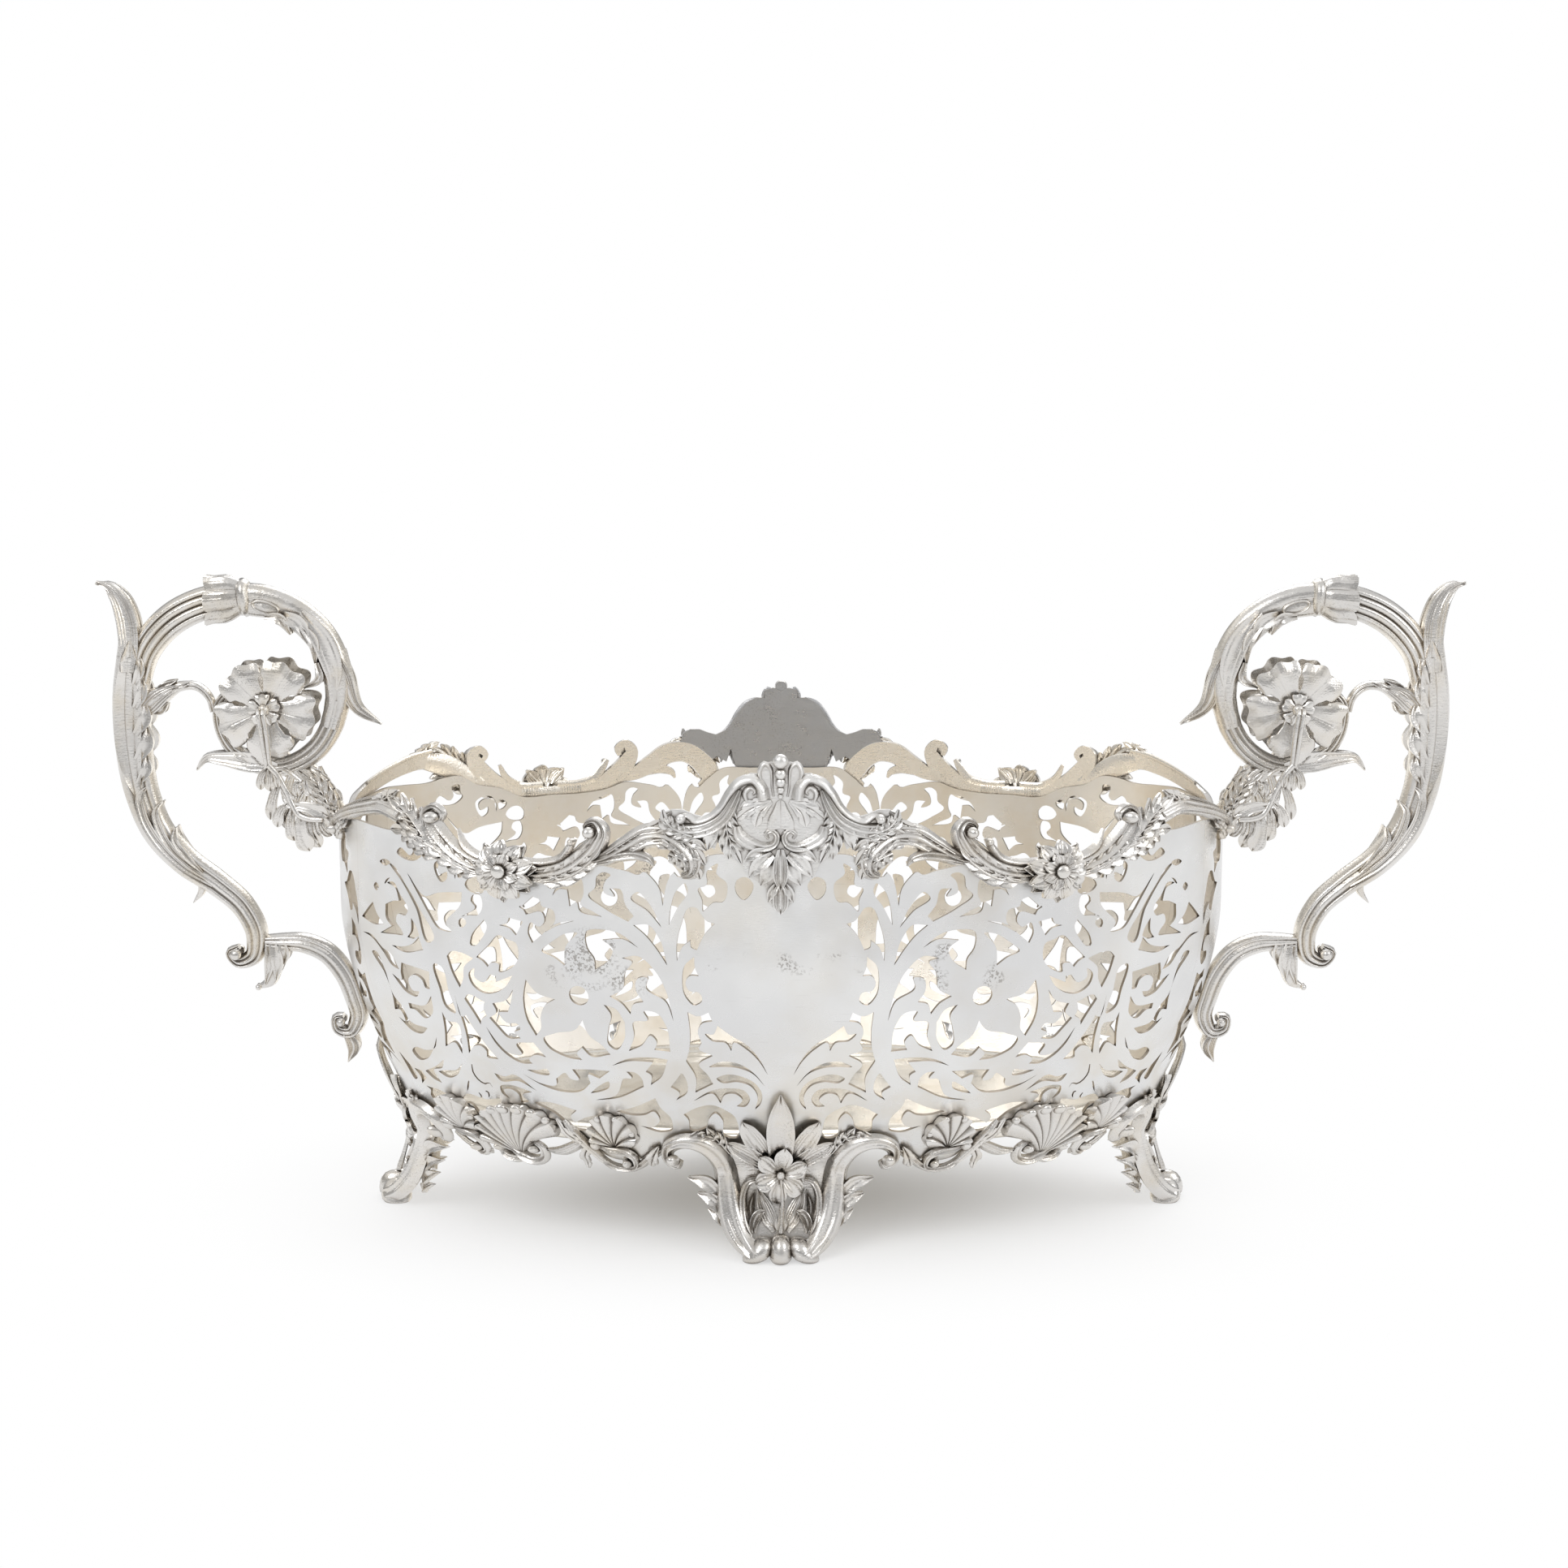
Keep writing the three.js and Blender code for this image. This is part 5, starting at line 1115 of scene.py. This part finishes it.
HANDLE_LEAVES = """
# the acanthus on the lower stem: long fingers that flow up along the bar and curl at their tips;
blade 240,137.4,0.7,4.6 252,145.6,1.5,5.6 262.4,157,2,5.7 268,168.6,1.9,5.4 268.6,176.6,1.4,4.6
    265.6,179.6,0.3,4.2 crown=1.8 sheet=2.8 veins=3;
blade 247,143.6,0.7,4.8 256.4,153.4,1.5,5.8 261.6,163.8,1.7,5.6 262.4,169.8,1.2,5.2 260.4,172.6,0.3,4
    crown=1.8 sheet=2.8 veins=3;
blade 244,142.8,0.6,4.6 251,150.8,1.3,5.4 255.2,157.8,1.4,5.2 254.8,162,0.3,4 crown=1.8 sheet=2.8 veins=3;
# the broad leaf above it, with lobes that curl along its inner side;
blade 269.6,174,0.8,3 271.6,186,4,3.6 272.6,200,5.6,3.6 272,216,5.6,3.6 270.8,230,4.2,3.8 270.4,241,0.5,4
    sheet=2.4 crown=2.6 veins=11;
lobed 269.4,181,265.4,187.6,265.8,193.6,2.2 269.6,191,264.8,198.4,265,205.4,2.8
    269.6,202,265,209.4,265.6,216,2.6 269.4,213,265.8,220,266.4,226.4,2.3 269.2,223,266.4,229.4,267,235.4,2
    lift=4.8 crown=1.6 sheet=2.8 droop=1.2;
# the leaf that hooks outwards at the top;
blade 271.6,228,2.6,4.6 270.8,240,4,4 272,251,4.1,3.2 275.4,259.6,3.1,2.4 280,264,1.6,1.6 284.6,264.6,0.3,0.8
    sheet=2.4 crown=2;
# the slot and the leaf on the ring;
lobed 214,251.4,207.6,250.4,203.8,243.6,2.4 208,252.6,200,248.6,195.6,239.6,3.2
    200,249,194,240.6,193.8,231,2.2 193,232,192,225.6,199,221.2,1.8 lift=4.8 crown=2.0 sheet=2.8 droop=1.2;
blade 199,253,2,4.8 190.6,242,4.4,5.2 186.4,230,4,5 186.2,217.6,0.4,3.8 sheet=2.4 veins=9 crown=0.9;
blade 187,238,1.6,4 182,226,3.2,3.8 177.6,213,2.2,2.4 168,206,0.4,1 sheet=2;
# the leaf under the spiral;
blade 211,188,1.6,4.2 222,190,4.2,4.6 234,191.4,2.8,3.6 241.4,191,1.6,2.2 245.4,186.6,0.4,1 sheet=2 veins=9;
lobed 216,188.6,220,193.4,222.4,197.4,1.8 222,190,227,193.4,230.6,196.4,1.7 lift=4.2 sheet=2.4;
# the leaf at the root of the bridge;
blade 267.4,208.6,1.4,3.4 263.6,213.8,3.8,4 257.6,218.8,3.2,4 251,222,0.5,3 sheet=2.4 crown=1.6 veins=7;
lobed 263,211.4,259,211.6,256.4,214.4,1.5 262,218.6,257.4,222,252.6,224.2,1.5
    254.6,220.4,250,222,246.6,223.4,1.1 lift=3.2 crown=1.4 sheet=2;
pearl 231.4,107.2,2.4 rise=2.4 lift=3.4;
"""
lean = np.linspace(0, 2 * math.pi, 15)
slot_edge = np.stack([213.6 + 5.4 * np.cos(lean), 255 + 2.5 * np.sin(lean) + 1.4 * np.cos(lean), 0.7 + 0 * lean], -1)
for face in (at_front, at_back):
    draw(face, HANDLE_LEAVES)
    scroll(face, slot_edge, ridges=1, rise=1.8, lift=4.5, step=0.8)
cast("handle_scroll", RIGHT_LEFT)

# %% [markdown]
# The ring is clasped by a bud. Its petals lie side by side round the bar like a tulip's, parted by creases, and
# their tips stand off the bar in a scalloped edge. One grid wrapped round the bar's axis makes all of them.

# %% The bud that clasps the ring
around = np.linspace(0, 2 * math.pi, 84, endpoint=False)[None, :]
along = np.linspace(0, 1, 22)[:, None]
crease = np.abs(np.sin(3 * around)) ** 0.5
swell = np.interp(along, [0, 0.15, 0.5, 0.8, 1], [0.78, 0.86, 1.02, 1.0, 1.06])
x = 222.6 + 16.6 * along * (0.9 + 0.1 * crease)
radius = swell * (0.8 + 0.2 * crease * np.minimum(1, 3 * along)) * (1 + 0.04 * np.cos(24 * around) * along)
y, z = 7.0 * radius * np.sin(around), 258.4 - 0.08 * (x - 230) + 10.4 * radius * np.cos(around)
skin(np.stack(np.broadcast_arrays(x, y, z), -1))
draw(at_back, """
bar 225,258.6,7.2,1.3 223.4,258.8,8.2,1.5 221.8,258.9,7.8,1.4 220.6,259,6.9,1.1 ridges=1 step=0.4;
""")
cast("handle_collar", RIGHT_LEFT)

# %% [markdown]
# The large flower is the showpiece of the handle: five broad petals with ruffled, finely pleated edges, round a
# deep cup. Every petal is a grid whose height follows a slow wave along its edge and a fast one for the pleats,
# and its sides draw in over the cup, so that slots part it from its neighbours.

# %% The large flowers, one on each side of a handle
HUB = (214.6, 213)
PETAL_START, PETAL_FLOOR = 0.12, 5.5


def big_petal(turned, reach, wide, up0, rows=26, columns=45):
    r = np.linspace(PETAL_START, 1, rows)[:, None]
    t = np.linspace(-1, 1, columns)[None, :]
    fill = np.interp(r, [PETAL_START, 0.36, 0.46, 0.7, 0.86, 1], [1.0, 0.98, 0.84, 0.82, 0.97, 0.94])
    lean = turned + t * math.radians(wide) * fill
    edge = 1 + 0.06 * t**2 - 0.26 * np.abs(t) ** 6 + 0.04 * np.cos(2.7 * np.pi * t + 3 * turned)
    out = reach * r * (1 - r**2 * (1 - edge))
    wave = np.cos(1.9 * np.pi * t + 2 * turned)
    up = up0 + 0.13 * reach * np.sin(2.0 * r) + 0.035 * reach * r**3 * wave - 0.08 * reach * np.abs(t) ** 3 * r
    up = up - 0.05 * reach * np.clip(r - 0.8, 0, 1) / 0.2 + 0.15 * np.cos(17 * np.pi * t) * r * (1.25 - r)
    up = up - 0.6 * np.exp(-(t / 0.07) ** 2) * r * (1.1 - r)
    a, b = HUB[0] + out * np.sin(lean), HUB[1] + out * np.cos(lean)
    sheet_skin(at_front, a, b, PETAL_FLOOR + up, 1.0)


for k in range(5):
    big_petal(math.radians(72 * k - 30), 20.4, 38, 1.2 + 0.4 * (k % 2))
    big_petal(math.radians(72 * k + 6), 6.6, 36, 5.2, rows=12, columns=21)
pearl(at_front, [(*HUB, 2.4)], rise=2.4, lift=10)
cast("handle_flower", QUARTERS)

# %% [markdown]
# A double stem hooks out of the flower's cup and hangs down. Below a bud it becomes a garland of plain veined
# leaves, which swings over to the end of the rim.

# %% The garlands
def rod(knots, around=10, step=0.9):
    """A round rod through knots of [x, y, z, radius]."""
    length = np.linalg.norm(np.diff(np.array(knots)[:, :3], axis=0), axis=1).sum()
    line = through(knots, max(6, int(length / step)), dims=3)
    course = np.gradient(line[:, :3], axis=0)
    course /= np.linalg.norm(course, axis=1)[:, None]
    side = np.cross(course, (0.31, 0.2, 0.93))
    side /= np.linalg.norm(side, axis=1)[:, None]
    up = np.cross(course, side)
    turn = np.linspace(0, 2 * math.pi, around, endpoint=False)[None, :, None]
    ring = np.cos(turn) * side[:, None] + np.sin(turn) * up[:, None]
    skin(line[:, None, :3] + ring * line[:, None, 3:4])


def in_garland(a, b, w):
    return at_front(a, b, 16.4 + np.asarray(w))


for shift in (-1.0, 1.0):
    rod([(215.4 + shift, -13, 213.4, 0.8), (215 + shift, -16.6, 213.4, 0.9), (213.8 + shift, -18, 207, 0.9),
         (212.9 + shift * 0.9, -17.8, 198, 1), (212 + shift * 0.6, -17.8, 190, 0.9)])
STALK = "212,-17.8,191,1.3 208.6,-17.8,187,1.3 205,-17.8,180,1.3 202.7,-18,174.6,1.3 200,-18.6,170.4,1.4 " \
        "196,-19.6,168.8,1.3 190,-20.2,168.4,1"
rod(knots_of(STALK.split()))
GARLAND = """
211.6,190.6,215,186,215.6,181,1.6 211.4,190,211.6,185,211.4,180.4,1.7 210,189,208.6,186,208.2,182,1.4
207.6,184.6,210.6,177,212,168.6,1.9 206.6,183,205,179,202.6,175.4,1.8 203.6,176,207.6,171.6,209,165.4,1.9
204,172.6,205.4,168.6,205,164.4,1.6 202.6,172.6,203.6,166,202.3,159.6,2.1 199,170.6,199,163,196.2,155.4,2.9
195,169.6,194.8,163,191.8,156.8,2.4 191,169,190,165,186.8,161.6,1.8 203,174,196,173.4,188.4,170,2.4
198.6,184.6,201,182.4,200.4,178,1.6 197,184.6,196.4,181,194.8,178.4,1.5
"""
for k, (a0, b0, a1, b1, a2, b2, half) in enumerate(knots_of(GARLAND.split())):
    raised = 1.0 + 0.5 * (k % 3)
    tip = (1.08 * a2 - 0.08 * a1, 1.08 * b2 - 0.08 * b1, 0.3, raised - 0.4)
    spots = [(a0, b0, half * 0.5, raised), (a1, b1, half, raised + 0.5), (a2, b2, half * 0.5, raised - 0.2), tip]
    blade(in_garland, spots, crown=0.9, rows=18, columns=13)
rod([(198.4, -17.4, 184, 1), (203, -15, 187, 1.2), (207, -11, 188, 1.2)], around=8)
cast("garland", QUARTERS)

# %% [markdown]
# A scroll bracket carries the foot of the stem, and a saddle on the end of the rim carries the ring. Both are
# fluted bars dressed with leaves, drawn in the handle's plane. The saddle's small scrolls lie along the rim.

# %% The bracket under a handle and the saddle on the rim
draw(at_back, """
bar 219,112.4,2.6,0.9 211,112,3.8 203,111.4,4.4 194,107.6,4.6 186.6,99,4.6 182.4,88.6,4.4 180.6,78.6,4
    184.4,72.6,3.2 189.6,74,2.4,0.9 190.2,79,1.7,0.8 187,79.6,1,0.7 depth=4.4 ridges=3 groove=0.26;
bar 213.6,111,4,0.8 215.4,102,3.4,0.7 218,94.6,2.4,0.5 223.4,91.8,0.7,0.3 depth=4.2 ridges=1;
bar 183.6,72,3,0.7 182.6,65.6,2.4,0.6 185.6,59.2,0.4,0.3 depth=4.2 ridges=1;
""")
BRACKET_LEAVES = """
lobed 212,113.6,211,107,212.6,101.6,2.4 216,113,213.8,104,215,95.6,2.6 218,112,217.4,103,219.6,93.6,2 lift=3
    crown=1.6 sheet=2;
pearl 222.8,92.2,1.3 rise=1.4 lift=0.8;
blade 185.6,73,1.6,3 182.8,66,2.6,2.6 185.4,59.4,0.3,1 sheet=1.6;
pearl 187.8,77.4,1.9 rise=2.2 lift=2.8;
"""
for face in (at_front, at_back):
    draw(face, BRACKET_LEAVES)
cast("handle_bracket", RIGHT_LEFT)

for side in (1, -1):
    draw(sided(QUARTER, side), """
scroll 0,166.6,3.7 6,166.6,3.6 11,165.4,3 15.4,163,1.6 13.6,160.6,0.9 rise=3.6 lift=0.6;
acanthus 1,168,1.6 7,168.4,2.6 14,165.4,0.4 count=3 lift=2.2;
""")
draw(at_back, """
bar 188.4,163,2.2,0.9 190.8,172,2.8,1 195,180,3.2,1 201.6,186,3,1 204,188.4,1.4,0.8 depth=4.0 ridges=2;
""")
for face in (at_front, at_back):
    draw(face, "acanthus 188,164,1.2 190.6,173,3.4 195.6,181,3.2 203,187,0.4 lift=3.2 sheet=1.6")
cast("rim_saddle", RIGHT_LEFT)
print(len(finished), "pieces finished")

# %% [markdown]
# The photograph has a white studio: a pale floor that melts into the background, soft light from all round, and
# a long lens a little above the rim.

# %% The floor
nothing_selected()
bpy.ops.mesh.primitive_plane_add(size=8, location=(0, 0, -0.0002))
floor = bpy.context.object
floor.name = "studio_floor"
paper = bpy.data.materials.new("white_paper")
paper.use_nodes = True
tree = paper.node_tree
matt = tree.nodes["Principled BSDF"]
plug(tree, matt.inputs["Base Color"], (0.93, 0.93, 0.93))
plug(tree, matt.inputs["Roughness"], 0.9)
# Painted light: the floor glows with white emission, weakest under the bowl and full further out, so the far floor
# is pure white and the bowl's shadow is lightened.
glow = add(tree, "Emission", {"Color": (1, 1, 1)})
where = add(tree, "TexCoord", {}).outputs["Object"]
oval = add(tree, "VectorMath", {0: where, 1: (0.57, 1, 0)}, operation="MULTIPLY").outputs[0]
far = add(tree, "VectorMath", {0: oval}, operation="LENGTH").outputs["Value"]
fade = add(tree, "MapRange", {"Value": far, "From Max": 0.16, "To Min": 0.05}, interpolation_type="SMOOTHSTEP")
blend = add(tree, "MixShader", {0: fade.outputs["Result"], 1: matt.outputs[0], 2: glow.outputs[0]})
plug(tree, tree.nodes["Material Output"].inputs[0], blend.outputs[0])
floor.data.materials.append(paper)

# %% The light
world = bpy.data.worlds.new("white_studio")
bpy.context.scene.world = world
world.use_nodes = True
tree = world.node_tree
way = add(tree, "TexCoord", {}).outputs["Generated"]
upward = add(tree, "SeparateXYZ", {0: way}).outputs["Z"]
tone = add(tree, "ValToRGB", {"Fac": add(tree, "MapRange", {"Value": upward, "From Min": -1}).outputs["Result"]})
stops = tone.color_ramp.elements
stops[0].color, stops[1].color = (0.9, 0.9, 0.9, 1), (0.98, 0.98, 0.98, 1)
for at, grey in ((0.50, 0.85), (0.55, 0.52), (0.66, 0.42), (0.78, 0.95)):
    stops.new(at).color = (grey, grey, grey, 1)
sky = tree.nodes["Background"]
plug(tree, sky.inputs["Color"], tone.outputs["Color"])
plug(tree, sky.inputs["Strength"], 0.85)
white = add(tree, "Background", {"Color": (1, 1, 1), "Strength": 1.0})
seen = add(tree, "LightPath", {}).outputs["Is Camera Ray"]
pick = add(tree, "MixShader", {0: seen, 1: sky.outputs[0], 2: white.outputs[0]})
plug(tree, tree.nodes["World Output"].inputs[0], pick.outputs[0])

LAMPS = (("key_softbox", (-0.9, -1.1, 1.5), 1.1, 9), ("fill_softbox", (1.3, -0.6, 0.9), 1.0, 5),
         ("back_softbox", (0.2, 1.3, 1.3), 1.2, 7))
for name, place, size, power in LAMPS:
    bpy.ops.object.light_add(type="AREA", location=place)
    lamp = bpy.context.object
    lamp.name, lamp.data.size, lamp.data.energy = name, size, power
    lamp.rotation_euler = (lamp.location * -1).to_track_quat("-Z", "Y").to_euler()

# %% The camera, as it was found for the photograph: its focal length and width in pixels, and its tilt
FOCAL_PX, WIDTH_PX, TILT, SENSOR_MM = 3200.6, 1932, 0.1754, 36
bpy.ops.object.camera_add(location=(0.0013, -1.0772, 0.3709), rotation=(math.pi / 2 - TILT, 0, 0))
camera = bpy.context.object
camera.data.lens = FOCAL_PX / WIDTH_PX * SENSOR_MM
camera.data.sensor_width = SENSOR_MM
bpy.context.scene.camera = camera
bpy.context.scene.view_settings.view_transform = "Standard"

# %% Sizes
print("triangles", sum(len(p.vertices) - 2 for o in finished for p in o.data.polygons))
